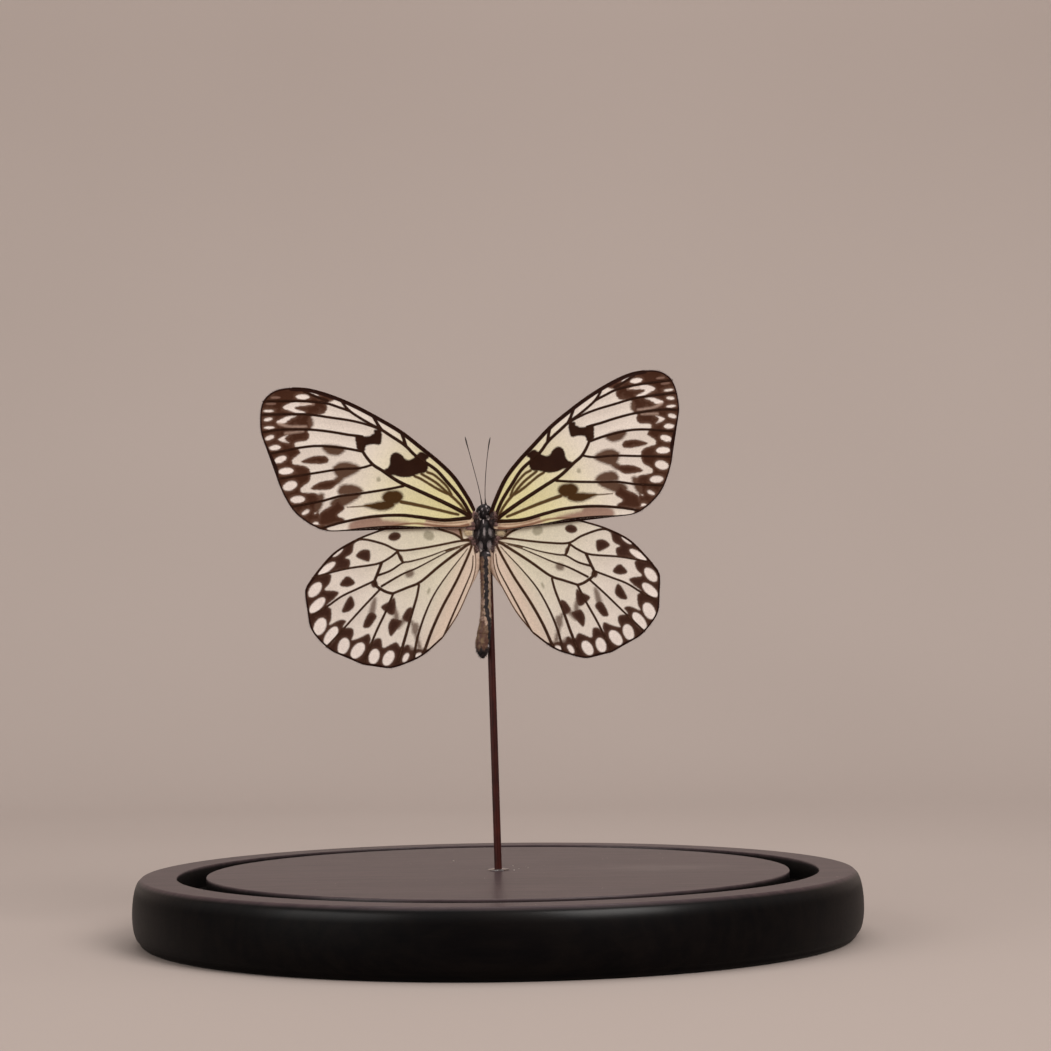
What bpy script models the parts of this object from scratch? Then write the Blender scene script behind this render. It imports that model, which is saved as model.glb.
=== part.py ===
"""Mounted paper-kite butterfly on a rod over a turned and grooved display base.

The insect stands upright over the base with its back to -Y and its wings spread.
Frame: +Z up, origin at the centre of the base's underside, all lengths in metres.
"""
import math

import bmesh
import bpy
import numpy as np
from mathutils import Matrix, Vector
from mathutils.geometry import delaunay_2d_cdt

MM = 0.001
GAP = 0.3 * MM                      # clearance kept between pieces that touch

# Base: one turned piece of wood with a ring groove for the rim of a dome
BASE_R = 100 * MM                   # widest radius, a little above mid-height
BASE_H = 18 * MM
BASE_WIDEST_Z = 8.4 * MM
BASE_TOP_R = 97.8 * MM
BASE_TOP_EDGE = 0.6 * MM            # softened edge round the top
BASE_FOOT_R = 96 * MM
BASE_FOOT_ROUND = 1.8 * MM
GROOVE_IN_R = 80 * MM
GROOVE_OUT_R = 88 * MM
GROOVE_DEPTH = 6 * MM
GROOVE_EDGE = 0.35 * MM
BASE_STEPS = 72

# Rod: stands in a drilled hole at the centre of the base and leans a little to -X
ROD_R = 1.03 * MM
ROD_TOP = Vector((-1.8, 0.0, 109.2)) * MM
ROD_SEAT = 8 * MM                   # depth of its hole
BEAD_R = 3 * MM                     # bead of glue round the rod's foot
BEAD_H = 0.55 * MM

# Insect: (across, depth, up) offsets from the middle of the thorax's front end
INSECT = Vector((-2.68, -2.9, 113.36)) * MM
BODY_SEGMENTS = 16
BODY_RINGS = 12

# Body sections from the lower end up: (up, across, depth, half width, half depth), millimetres
THORAX = [(-6.7, 0.10, -0.1, 0.9, 0.9), (-5.8, 0.10, -0.1, 1.6, 1.6), (-4.0, 0.05, 0.0, 2.05, 2.3),
          (-2.0, 0.0, 0.0, 2.15, 2.6), (0.0, 0.0, -0.1, 1.9, 2.3), (1.5, 0.0, -0.2, 0.8, 1.0)]
HEAD = [(2.1, 0.0, 0.0, 0.7, 0.8), (2.7, 0.0, 0.0, 1.7, 1.4), (3.8, 0.0, 0.0, 2.05, 1.7),
        (5.0, 0.0, -0.1, 1.7, 1.4), (5.7, 0.0, -0.1, 0.6, 0.6)]
ABDOMEN = [(-36.7, -0.8, -0.5, 0.5, 0.5), (-35.6, -0.9, -0.5, 1.35, 1.3), (-33.3, -0.9, -0.45, 1.9, 1.75),
           (-30.0, -0.5, -0.4, 1.85, 1.75), (-26.0, 0.0, -0.35, 1.5, 1.6), (-20.0, 0.15, -0.35, 1.3, 1.45),
           (-12.0, 0.1, -0.3, 1.4, 1.5), (-8.5, 0.2, -0.25, 1.6, 1.55), (-7.05, 0.2, -0.2, 0.9, 0.9)]

# Wing outlines in the wing's own plane: (outwards, up) from the middle of the body, millimetres.
FOREWING = {
    "front": [(2.8, 4.2), (4.6, 8.3), (7.9, 13.7), (12.1, 17.9), (17.5, 22.3), (22.9, 26.5), (29.2, 30.3),
              (35.8, 33.8), (42.5, 36.6), (48.3, 38.3), (53.0, 38.7)],
    "outer": [(45.6, -0.8), (48.9, 1.0), (52.3, 3.8), (54.9, 7.7), (57.0, 12.6), (57.6, 16.6), (59.8, 21.3),
              (61.5, 25.8), (61.8, 30.2), (61.4, 33.6), (60.2, 36.0), (57.3, 38.0), (53.0, 38.7)],
    "hind": [(2.8, 1.0), (8.0, -0.4), (16.7, -0.5), (25.0, -0.2), (32.5, -0.6), (38.5, -1.3), (42.5, -1.45),
             (45.6, -0.8)],
}
HINDWING = {
    "front": [(2.7, -1.4), (7.0, -0.3), (12.0, 0.8), (18.0, 1.0), (24.0, 0.3), (30.0, -1.5), (35.8, -3.8),
              (41.7, -7.3), (46.2, -12.2), (49.4, -16.6)],
    "outer": [(11.8, -31.5), (16.7, -35.7), (20.8, -37.8), (26.3, -39.5), (30.5, -38.8), (34.0, -38.4),
              (38.2, -36.4), (42.5, -34.6), (46.2, -31.3), (48.5, -27.8), (49.2, -23.2), (49.8, -19.0),
              (49.4, -16.6)],
    "hind": [(2.6, -6.2), (2.1, -9.0), (2.2, -12.0), (3.0, -15.3), (4.7, -19.4), (7.6, -25.4), (11.8, -31.5)],
}
WING_STEP = 2.6                     # spacing of the blades' points, millimetres
WING_THICK = 0.34 * MM
FORE_DEPTH = -2.2                   # the forewing lies over the hindwing's front edge, millimetres
HIND_DEPTH = -1.1
CAMBER = 1.5                        # height of the blade's crown, millimetres
WING_SCALE = 0.986                  # share of the outlines above that the blades measure
# Each side's pose: raise towards -Y and turn about the root in degrees, shift of the root in millimetres
POSES = {
    "left": {"side": -1, "raise": 7.0, "fore_turn": 0.0, "fore_shift": (0.55, -0.23),
             "hind_turn": 0.0, "hind_shift": (0.48, -0.2)},
    "right": {"side": 1, "raise": -12.0, "fore_turn": 7.9, "fore_shift": (-0.95, -1.38),
              "hind_turn": 3.9, "hind_shift": (-0.36, 0.2)},
}
FORE_ROOT = (3.0, 2.5)
HIND_ROOT = (3.0, -4.0)

# Antennae and legs: (across, depth, up) points and half thicknesses, millimetres
ANTENNAE = {
    "antenna_left": [(-0.62, -0.5, 6.05), (-1.1, -1.0, 8.6), (-2.1, -1.7, 13.0), (-3.5, -2.5, 18.4),
                     (-4.5, -2.9, 22.2), (-5.0, -3.1, 24.3)],
    "antenna_right": [(0.38, -0.5, 6.05), (0.3, -1.1, 8.8), (0.5, -2.0, 13.2), (1.0, -3.0, 18.2),
                      (1.55, -3.5, 22.0), (1.95, -3.7, 24.0)],
}
ANTENNA_HALF = [0.16, 0.14, 0.13, 0.15, 0.22, 0.2]
LEGS = {
    "foreleg": [(0.7, 2.75, 0.2), (0.9, 3.4, -0.3), (1.6, 4.1, 1.9), (1.1, 4.5, -0.7), (0.8, 4.4, -1.9)],
    "midleg": [(1.2, 2.7, -1.5), (1.7, 3.5, -2.2), (4.9, 5.5, 2.0), (4.6, 6.4, -6.0), (3.6, 6.1, -11.6)],
    "hindleg": [(1.3, 2.5, -2.9), (2.0, 3.6, -3.3), (3.3, 4.7, -1.0), (2.7, 5.7, -10.4), (2.0, 5.3, -15.4)],
}
LEG_HALF = [0.3, 0.34, 0.26, 0.2, 0.13]

COLOURS = {                         # colour, roughness
    "stained_wood": ((0.016, 0.013, 0.013), 0.35),
    "rod_wood": ((0.055, 0.016, 0.012), 0.45),
    "glue": ((0.55, 0.52, 0.48), 0.2),
    "body_hair": ((0.02, 0.015, 0.013), 0.9),
    "abdomen_hair": ((0.30, 0.21, 0.14), 0.85),
    "wing_scales": ((0.68, 0.60, 0.46), 0.7),
    "black_shell": ((0.015, 0.012, 0.01), 0.4),
}


def clear_scene():
    """Remove whatever the file starts with."""
    for thing in list(bpy.data.objects):
        bpy.data.objects.remove(thing, do_unlink=True)


def make_collection(name):
    collection = bpy.data.collections.new(name)
    bpy.context.scene.collection.children.link(collection)
    return collection


def make_material(name):
    """A plain finish in the piece's own colour."""
    colour, roughness = COLOURS[name]
    material = bpy.data.materials.new(name)
    material.use_nodes = True
    shader = material.node_tree.nodes["Principled BSDF"]
    shader.inputs["Base Color"].default_value = (*colour, 1)
    shader.inputs["Roughness"].default_value = roughness
    return material


def add_mesh(name, bm, collection, material=None):
    """Turn a bmesh into a named object, with its faces pointing outwards."""
    mesh = bpy.data.meshes.new(name)
    bm.to_mesh(mesh)
    bm.free()
    mesh.shade_smooth()
    mesh.set_sharp_from_angle(angle=math.radians(35))
    piece = bpy.data.objects.new(name, mesh)
    collection.objects.link(piece)
    if material:
        mesh.materials.append(material)
    return piece


def turned(name, profile, steps, collection, material=None):
    """Turn a profile of (radius, height) points about Z, from the top down its outer side."""
    bm = bmesh.new()
    points = [bm.verts.new((radius, 0, height)) for radius, height in profile]
    for first, second in zip(points, points[1:]):
        bm.edges.new((first, second))
    piece = add_mesh(name, bm, collection, material)
    screw = piece.modifiers.new("Turn", "SCREW")
    screw.steps = steps
    screw.render_steps = steps
    screw.use_merge_vertices = True
    screw.merge_threshold = 1e-6
    screw.use_smooth_shade = True
    return piece


def quarter_round(centre_r, centre_z, reach_r, reach_z, start, end, count):
    """Points along an elliptical corner, from the start angle to the end angle in degrees."""
    angles = np.radians(np.linspace(start, end, count))
    return [(centre_r + reach_r * math.cos(a), centre_z + reach_z * math.sin(a)) for a in angles]


def base_profile():
    """The base's outline: disc, groove, rim, bulging side and rounded foot."""
    floor = BASE_H - GROOVE_DEPTH
    profile = [(0, BASE_H), (GROOVE_IN_R - GROOVE_EDGE, BASE_H), (GROOVE_IN_R, BASE_H - GROOVE_EDGE)]
    profile += [(GROOVE_IN_R, floor), (GROOVE_OUT_R, floor)]
    profile += [(GROOVE_OUT_R, BASE_H - GROOVE_EDGE), (GROOVE_OUT_R + GROOVE_EDGE, BASE_H)]
    profile += [(BASE_TOP_R - BASE_TOP_EDGE, BASE_H)]
    side_top = BASE_H - BASE_TOP_EDGE
    profile += quarter_round(BASE_TOP_R, BASE_WIDEST_Z, BASE_R - BASE_TOP_R, side_top - BASE_WIDEST_Z,
                             80, 0, 6)
    knee_r = BASE_R - BASE_FOOT_ROUND
    profile += quarter_round(knee_r, BASE_WIDEST_Z, BASE_FOOT_ROUND, BASE_WIDEST_Z - BASE_FOOT_ROUND,
                             -18, -72, 4)
    profile += quarter_round(BASE_FOOT_R, BASE_FOOT_ROUND, knee_r - BASE_FOOT_R, BASE_FOOT_ROUND,
                             -20, -90, 4)
    profile += [(0, 0)]
    return profile


def rod_point(height):
    """The rod's centre line at a height: it leans from the middle of the base's top to its tip."""
    share = (height - BASE_H) / (ROD_TOP.z - BASE_H)
    return Vector((ROD_TOP.x * share, ROD_TOP.y * share, height))


def cylinder_between(name, start, end, radius, segments, collection, material=None):
    """A round bar from one point to another."""
    bm = bmesh.new()
    along = end - start
    turn = along.to_track_quat("Z", "Y").to_matrix().to_4x4()
    place = Matrix.Translation((start + end) / 2) @ turn
    bmesh.ops.create_cone(bm, cap_ends=True, segments=segments, radius1=radius, radius2=radius,
                          depth=along.length, matrix=place)
    return add_mesh(name, bm, collection, material)


def cut(piece, cutter):
    """Cut one piece with another that is left out of the model."""
    cutter.hide_render = True
    cutter.display_type = "WIRE"
    boolean = piece.modifiers.new("Cut", "BOOLEAN")
    boolean.operation = "DIFFERENCE"
    boolean.solver = "EXACT"
    boolean.object = cutter


def body_form(name, sections, collection, material):
    """A rounded body part: a sphere whose rings are moved to the given sections."""
    stations = np.array(sections)
    low, high = stations[0][0], stations[-1][0]
    bm = bmesh.new()
    bmesh.ops.create_uvsphere(bm, u_segments=BODY_SEGMENTS, v_segments=BODY_RINGS, radius=1)
    for vert in bm.verts:
        latitude = math.asin(max(-1.0, min(1.0, vert.co.z)))
        up = low + (high - low) * (0.5 + latitude / math.pi)
        ring = math.hypot(vert.co.x, vert.co.y)
        pole = ring < 1e-4
        angle = math.atan2(vert.co.y, vert.co.x)
        across, depth, half_w, half_d = [np.interp(up, stations[:, 0], stations[:, i]) for i in range(1, 5)]
        reach = 0 if pole else 1
        offset = Vector((across + reach * half_w * math.cos(angle), depth + reach * half_d * math.sin(angle), up))
        vert.co = INSECT + offset * MM
    return add_mesh(name, bm, collection, material)


def smooth_points(points, count):
    """Points spaced evenly along a smooth curve through the given ones."""
    control = np.array(points, float)
    padded = np.vstack([2 * control[0] - control[1], control, 2 * control[-1] - control[-2]])
    fine = []
    for i in range(1, len(padded) - 2):
        before, here, there, after = padded[i - 1:i + 3]
        for t in np.linspace(0, 1, 16, endpoint=False):
            fine.append(0.5 * (2 * here + (there - before) * t
                               + (2 * before - 5 * here + 4 * there - after) * t ** 2
                               + (3 * here - before - 3 * there + after) * t ** 3))
    fine = np.vstack([fine, control[-1]])
    run = np.concatenate([[0], np.cumsum(np.linalg.norm(np.diff(fine, axis=0), axis=1))])
    wanted = np.linspace(0, run[-1], count)
    return np.stack([np.interp(wanted, run, fine[:, i]) for i in range(fine.shape[1])], axis=1)


def outline_loop(outline):
    """The wing's closed edge: out along the hind edge, round the outer one and back along the front."""
    loop = []
    for name, backwards in (("hind", False), ("outer", False), ("front", True)):
        control = outline[name]
        length = sum(math.dist(a, b) for a, b in zip(control, control[1:]))
        run = smooth_points(control, round(length / WING_STEP) + 1)
        run = run[::-1] if backwards else run
        loop.extend(run[:-1])
    loop.append(outline["front"][0])
    return np.array(loop)


def inside(loop, point):
    """Whether a point lies inside a closed loop: a line out of it crosses the loop an odd number of times."""
    odd = False
    for (x1, y1), (x2, y2) in zip(loop, np.roll(loop, -1, axis=0)):
        if (y1 > point[1]) != (y2 > point[1]):
            if point[0] < (x2 - x1) * (point[1] - y1) / (y2 - y1) + x1:
                odd = not odd
    return odd


def blade(outline):
    """Fill the wing's outline with even triangles: its edge points and a staggered grid inside."""
    loop = outline_loop(outline)
    points = [Vector(point) for point in loop]
    low, high = loop.min(axis=0), loop.max(axis=0)
    row_step = WING_STEP * math.sqrt(3) / 2
    for row, up in enumerate(np.arange(low[1], high[1], row_step)):
        for out in np.arange(low[0] + (row % 2) * WING_STEP / 2, high[0], WING_STEP):
            clear = np.linalg.norm(loop - (out, up), axis=1).min() > 0.75 * WING_STEP
            if clear and inside(loop, (out, up)):
                points.append(Vector((out, up)))
    filled = delaunay_2d_cdt(points, [], [list(range(len(loop)))], 1, 1e-5, False)
    return filled[0], filled[2]


def camber(out, up):
    """Depth of the wing's surface off its plane: a low crown, and tips that drop back a little."""
    crown = math.sin(math.pi * min(max(out / 62, 0), 1))
    droop = (out / 62) ** 2 + (up / 50) ** 2
    return CAMBER * (0.6 * droop - crown)


def place_on_wing(out, up, depth, pose, kind):
    """A point of the wing's plane, in the object's frame."""
    root = FORE_ROOT if kind == "fore" else HIND_ROOT
    angle = math.radians(pose[kind + "_turn"])
    shift = pose[kind + "_shift"]
    reach, rise = (out - root[0]) * WING_SCALE, (up - root[1]) * WING_SCALE
    turned_out = root[0] + shift[0] + reach * math.cos(angle) - rise * math.sin(angle)
    turned_up = root[1] + shift[1] + reach * math.sin(angle) + rise * math.cos(angle)
    tilt = math.radians(pose["raise"])
    off = depth + camber(out, up)
    across = pose["side"] * (turned_out * math.cos(tilt) + off * math.sin(tilt))
    deep = off * math.cos(tilt) - turned_out * math.sin(tilt)
    return INSECT + Vector((across, deep, turned_up)) * MM


def make_wing(name, outline, kind, pose, collection, material):
    """A thin curved blade, thickened to both sides of its middle surface."""
    points, triangles = blade(outline)
    depth = FORE_DEPTH if kind == "fore" else HIND_DEPTH
    bm = bmesh.new()
    verts = [bm.verts.new(place_on_wing(point.x, point.y, depth, pose, kind)) for point in points]
    for triangle in triangles:
        corners = triangle if pose["side"] > 0 else triangle[::-1]
        bm.faces.new([verts[i] for i in corners])
    wing = add_mesh(name, bm, collection, material)
    solidify = wing.modifiers.new("Thickness", "SOLIDIFY")
    solidify.thickness = WING_THICK
    solidify.offset = 0
    return wing


def tapered_tube(name, points, halves, side, collection, material):
    """A thin closed tube through hand-placed points, with its own thickness at each."""
    curve = bpy.data.curves.new(name, "CURVE")
    curve.dimensions = "3D"
    curve.bevel_depth = MM
    curve.bevel_resolution = 2
    curve.use_fill_caps = True
    spline = curve.splines.new("POLY")
    spline.points.add(len(points) - 1)
    for point, (across, depth, up), half in zip(spline.points, points, halves):
        place = INSECT + Vector((side * across, depth, up)) * MM
        point.co = (*place, 1)
        point.radius = half
    curve.materials.append(material)
    tube = bpy.data.objects.new(name, curve)
    collection.objects.link(tube)
    return tube


def fine_points(points, halves, count):
    """The same tube with more points, along a smooth curve."""
    both = [(*point, half) for point, half in zip(points, halves)]
    fine = smooth_points(both, count)
    return [tuple(row[:3]) for row in fine], [row[3] for row in fine]


def make_stand(parts, cutters, materials):
    """Base, rod and the bead of glue at the rod's foot."""
    base = turned("base", base_profile(), BASE_STEPS, parts, materials["stained_wood"])
    seat = rod_point(BASE_H - ROD_SEAT)
    cylinder_between("rod", seat + Vector((0, 0, GAP)), ROD_TOP, ROD_R, 16, parts, materials["rod_wood"])
    hole = cylinder_between("rod_hole", seat, rod_point(BASE_H * 1.3), ROD_R + GAP, 16, cutters)
    cut(base, hole)
    inner = ROD_R + GAP
    low = BASE_H + GAP
    profile = [(inner, low + BEAD_H)]
    profile += quarter_round(inner, low + 0.1 * BEAD_H, BEAD_R - inner, 0.9 * BEAD_H, 60, 0, 4)
    profile += [(BEAD_R, low), (inner, low), (inner, low + BEAD_H)]
    turned("glue_bead", profile, 24, parts, materials["glue"])


def make_body(parts, cutters, materials):
    """Thorax, head and abdomen; the thorax is hollowed where it sits on the rod."""
    thorax = body_form("thorax", THORAX, parts, materials["body_hair"])
    below = rod_point(INSECT.z - 12 * MM)
    nest = cylinder_between("rod_nest", below, rod_point(ROD_TOP.z + GAP), ROD_R + GAP, 16, cutters)
    cut(thorax, nest)
    body_form("head", HEAD, parts, materials["body_hair"])
    body_form("abdomen", ABDOMEN, parts, materials["abdomen_hair"])


def make_wings(parts, materials):
    """One wing shape of each kind, mirrored and set at each side's own pose."""
    for side, pose in POSES.items():
        make_wing(f"forewing_{side}", FOREWING, "fore", pose, parts, materials["wing_scales"])
        make_wing(f"hindwing_{side}", HINDWING, "hind", pose, parts, materials["wing_scales"])


def make_limbs(parts, materials):
    """Two clubbed antennae, and three pairs of legs folded on the underside."""
    for name, points in ANTENNAE.items():
        fine, halves = fine_points(points, ANTENNA_HALF, 12)
        tapered_tube(name, fine, halves, 1, parts, materials["black_shell"])
    for name, points in LEGS.items():
        for side, sign in (("left", -1), ("right", 1)):
            tapered_tube(f"{name}_{side}", points, LEG_HALF, sign, parts, materials["black_shell"])


def main():
    clear_scene()
    parts = make_collection("mounted_butterfly")
    cutters = make_collection("cutters")
    materials = {name: make_material(name) for name in COLOURS}
    make_stand(parts, cutters, materials)
    make_body(parts, cutters, materials)
    make_wings(parts, materials)
    make_limbs(parts, materials)


main()
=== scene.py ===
# %% [markdown]
# # A mounted paper-kite butterfly, cell by cell
# The object is a dried butterfly, spread and seen from its back, on a thin rod that stands in a turned
# wooden base. The plain solids and their places come from a fixed frame, so this lesson never moves or
# resizes anything: it only makes the fine surfaces that a viewer looks at. Every cell makes one piece or
# one finish and prints what it made.

# %% Load the frame
import math

import bmesh
import bpy
import numpy as np
from mathutils import Matrix, Vector, noise
from mathutils.geometry import delaunay_2d_cdt


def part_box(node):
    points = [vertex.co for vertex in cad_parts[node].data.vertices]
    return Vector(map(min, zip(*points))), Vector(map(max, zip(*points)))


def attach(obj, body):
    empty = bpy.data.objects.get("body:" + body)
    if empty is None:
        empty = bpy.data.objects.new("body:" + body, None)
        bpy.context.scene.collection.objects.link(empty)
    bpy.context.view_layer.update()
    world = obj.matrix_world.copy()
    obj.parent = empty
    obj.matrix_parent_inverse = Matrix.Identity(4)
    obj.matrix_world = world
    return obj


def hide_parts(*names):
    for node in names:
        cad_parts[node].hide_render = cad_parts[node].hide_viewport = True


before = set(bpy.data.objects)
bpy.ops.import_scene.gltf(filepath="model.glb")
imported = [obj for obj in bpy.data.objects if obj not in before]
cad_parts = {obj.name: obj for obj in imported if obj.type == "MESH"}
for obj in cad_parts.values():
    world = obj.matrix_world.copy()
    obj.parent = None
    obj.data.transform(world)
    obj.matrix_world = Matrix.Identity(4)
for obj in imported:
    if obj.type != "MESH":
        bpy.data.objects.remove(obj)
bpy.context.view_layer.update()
MM = 0.001

# %% [markdown]
# ## Measures shared with the frame
# A wing is drawn flat first: so many millimetres outwards from the middle of the body, and so many up.
# One function then bends, tilts and turns that plane into place. Drawing flat keeps the markings readable,
# and the same drawing serves both sides, mirrored. The numbers are the ones that shaped the plain blades.

# %% Where the insect is, and how its wings are set
INSECT = Vector((-2.68, -2.9, 113.36)) * MM
WING_SCALE = 0.986
FORE_ROOT, HIND_ROOT = (3.0, 2.5), (3.0, -4.0)
WING_DEPTH = {"fore": -2.2, "hind": -1.1}
CAMBER = 1.5
POSES = {
    "left": {"side": -1, "raise": 7.0, "fore_turn": 0.0, "fore_shift": (0.55, -0.23),
             "hind_turn": 0.0, "hind_shift": (0.48, -0.2)},
    "right": {"side": 1, "raise": -12.0, "fore_turn": 7.9, "fore_shift": (-0.95, -1.38),
              "hind_turn": 3.9, "hind_shift": (-0.36, 0.2)},
}


def on_wing(out, up, lift, pose, kind):
    """Points of a wing's own plane, in the object's frame. lift is towards the viewer's side of the blade."""
    root = FORE_ROOT if kind == "fore" else HIND_ROOT
    angle, tilt = math.radians(pose[kind + "_turn"]), math.radians(pose["raise"])
    shift = pose[kind + "_shift"]
    reach, rise = (out - root[0]) * WING_SCALE, (up - root[1]) * WING_SCALE
    turned_out = root[0] + shift[0] + reach * math.cos(angle) - rise * math.sin(angle)
    turned_up = root[1] + shift[1] + reach * math.sin(angle) + rise * math.cos(angle)
    crown = np.sin(math.pi * np.clip(out / 62, 0, 1))
    droop = (out / 62) ** 2 + (up / 50) ** 2
    off = WING_DEPTH[kind] + CAMBER * (0.6 * droop - crown) - lift
    across = pose["side"] * (turned_out * math.cos(tilt) + off * math.sin(tilt))
    deep = off * math.cos(tilt) - turned_out * math.sin(tilt)
    return np.stack([across, deep, turned_up], axis=-1) * MM + np.array(INSECT)


def curve_between(before, here, there, after, t):
    """Points of a smooth curve from here to there, at shares t of the way. The outer two set its bend."""
    return 0.5 * (2 * here + (there - before) * t + (2 * before - 5 * here + 4 * there - after) * t ** 2
                  + (3 * here - before - 3 * there + after) * t ** 3)


def smooth_points(points, step):
    """Points about one step apart along a smooth curve through the given ones."""
    control = np.array(points, float)
    padded = np.vstack([2 * control[0] - control[1], control, 2 * control[-1] - control[-2]])
    corners = [padded[i:len(padded) - 3 + i, None] for i in range(4)]
    t = np.linspace(0, 1, 16, endpoint=False)[None, :, None]
    fine = np.vstack([curve_between(*corners, t).reshape(-1, control.shape[1]), control[-1]])
    run = np.concatenate([[0], np.cumsum(np.linalg.norm(np.diff(fine, axis=0), axis=1))])
    wanted = np.linspace(0, run[-1], max(2, round(run[-1] / step) + 1))
    return np.stack([np.interp(wanted, run, fine[:, i]) for i in range(fine.shape[1])], axis=1)


print("insect stands at", [round(value / MM, 1) for value in INSECT], "mm")

# %% [markdown]
# ## The wings' outlines
# Each outline is two smooth runs that meet at the root and at the hind corner: one along the hind or inner
# edge, and one round the outer edge and back along the front. The front list starts at the root.

# %% Outlines
OUTLINES = {
    "fore": {
        "front": [(2.15, 4.4), (4.35, 8.4), (7.9, 13.7), (12.1, 17.9), (17.5, 22.3), (22.9, 26.5),
                  (29.2, 30.3), (35.8, 33.8), (42.5, 36.6), (48.3, 38.3), (53.0, 38.7)],
        "outer": [(45.6, -0.8), (48.9, 1.0), (52.3, 3.8), (54.9, 7.7), (57.0, 12.6), (57.6, 16.6),
                  (59.8, 21.3), (61.5, 25.8), (61.8, 30.2), (61.4, 33.6), (60.2, 36.0), (57.3, 38.0),
                  (53.0, 38.7)],
        "hind": [(2.8, 0.1), (5.0, -0.5), (8.0, -0.6), (16.7, -0.5), (25.0, -0.2), (32.5, -0.6),
                 (38.5, -1.3), (42.5, -1.45), (45.6, -0.8)],
    },
    "hind": {
        "front": [(2.7, -0.9), (7.0, 0.0), (12.0, 0.8), (18.0, 1.0), (24.0, 0.3), (30.0, -1.5), (35.8, -3.8),
                  (41.7, -7.3), (46.2, -12.2), (49.4, -16.6)],
        "outer": [(11.8, -31.5), (16.7, -35.7), (20.8, -37.8), (26.3, -39.5), (30.5, -38.8), (34.0, -38.4),
                  (38.2, -36.4), (42.5, -34.6), (46.2, -31.3), (48.5, -27.8), (49.2, -23.2), (49.8, -19.0),
                  (49.4, -16.6)],
        "hind": [(2.6, -6.2), (2.1, -9.0), (2.2, -12.0), (3.0, -15.3), (4.7, -19.4), (7.6, -25.4),
                 (11.8, -31.5)],
    },
}


def outline_loop(outline, step):
    """The wing's closed edge: out along the hind edge, round the outer one and back along the front."""
    hind = smooth_points(outline["hind"], step)
    round_and_back = smooth_points(outline["outer"] + outline["front"][-2::-1], step)
    return np.vstack([hind[:-1], round_and_back])


for kind, outline in OUTLINES.items():
    loop = outline_loop(outline, 1.0)
    print(kind, "wing:", np.ptp(loop, axis=0).round(1), "mm across and up,", len(loop), "mm round")

# %% [markdown]
# ## How far is each point from a marking?
# Wing markings could be painted in an image, but an image has a fixed sharpness and has to be stored.
# Instead each marking is a shape, and every point of the wing learns its distance to that shape: below
# zero is inside. A shader turns such a distance into an edge as sharp or as feathered as it should be.
# Shapes join by taking the smaller distance, and one is cut from another by the larger, with a minus.

# %% Distances to strokes, patches and ovals
FAR = 1e3                           # farther off than any marking is


def to_step(at, start, end):
    """Where each point comes nearest to a straight step, as a share of it, and its distance to it."""
    along = end - start
    where = np.clip((at - start) @ along / max(along @ along, 1e-9), 0, 1)
    return where, np.linalg.norm(at - (start + where[:, None] * along), axis=1)


def stroke(at, points, start, end):
    """Distance to a smooth line whose full width goes from start to end."""
    line = smooth_points(points, 0.8)
    share = np.linspace(0, 1, len(line))
    best = np.full(len(at), FAR)
    for here, there, s, t in zip(line, line[1:], share, share[1:]):
        where, gap = to_step(at, here, there)
        best = np.minimum(best, gap - 0.5 * (start + (end - start) * (s + (t - s) * where)))
    return best


def loop_distance(at, loop):
    """Distance to a closed loop of straight steps, below zero inside it."""
    best, inside = np.full(len(at), FAR), np.zeros(len(at), bool)
    for start, end in zip(loop, np.roll(loop, -1, axis=0)):
        best = np.minimum(best, to_step(at, start, end)[1])
        if end[1] != start[1]:
            crossed = (start[1] > at[:, 1]) != (end[1] > at[:, 1])
            crossing = (end[0] - start[0]) * (at[:, 1] - start[1]) / (end[1] - start[1]) + start[0]
            inside ^= crossed & (at[:, 0] < crossing)
    return np.where(inside, -best, best)


def patch(at, *points):
    """Distance to a closed smooth outline through the points, below zero inside it."""
    corners = [np.roll(np.array(points, float), turn, axis=0)[:, None] for turn in (1, 0, -1, -2)]
    t = np.linspace(0, 1, 5, endpoint=False)[None, :, None]
    return loop_distance(at, curve_between(*corners, t).reshape(-1, 2))


def oval(at, centre, half, tilt=0.0):
    """Distance, near enough, to an ellipse of those half axes, turned by tilt degrees."""
    angle = math.radians(tilt)
    gap = at - np.array(centre)
    along = gap[:, 0] * math.cos(angle) + gap[:, 1] * math.sin(angle)
    off = gap[:, 1] * math.cos(angle) - gap[:, 0] * math.sin(angle)
    reach = np.hypot(along / half[0], off / half[1])
    slope = np.hypot(half[1] * along / half[0], half[0] * off / half[1]) / np.maximum(reach, 1e-6)
    return (reach - 1) * (half[0] * half[1]) / np.maximum(slope, 1e-6)


def union(*shapes):
    return np.minimum.reduce(shapes)


def nearest(shape, at, listed):
    """Distance to the nearest of several listed shapes of one kind."""
    return union(*[shape(at, *values) for values in listed])


def carve(shape, *holes):
    return np.maximum.reduce([shape] + [-hole for hole in holes])


centre = np.zeros((1, 2))
print("from the middle of a 2 mm oval to its edge:", oval(centre, (0, 0), (1, 1))[0], "mm")

# %% [markdown]
# ## Veins
# The veins carry the wing. On this butterfly each one is dusted with dark scales, so it shows as a line,
# wider near the root. They are listed as smooth lines with a width at each end, because the same lists
# later lay real raised tubes over the blade.

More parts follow.
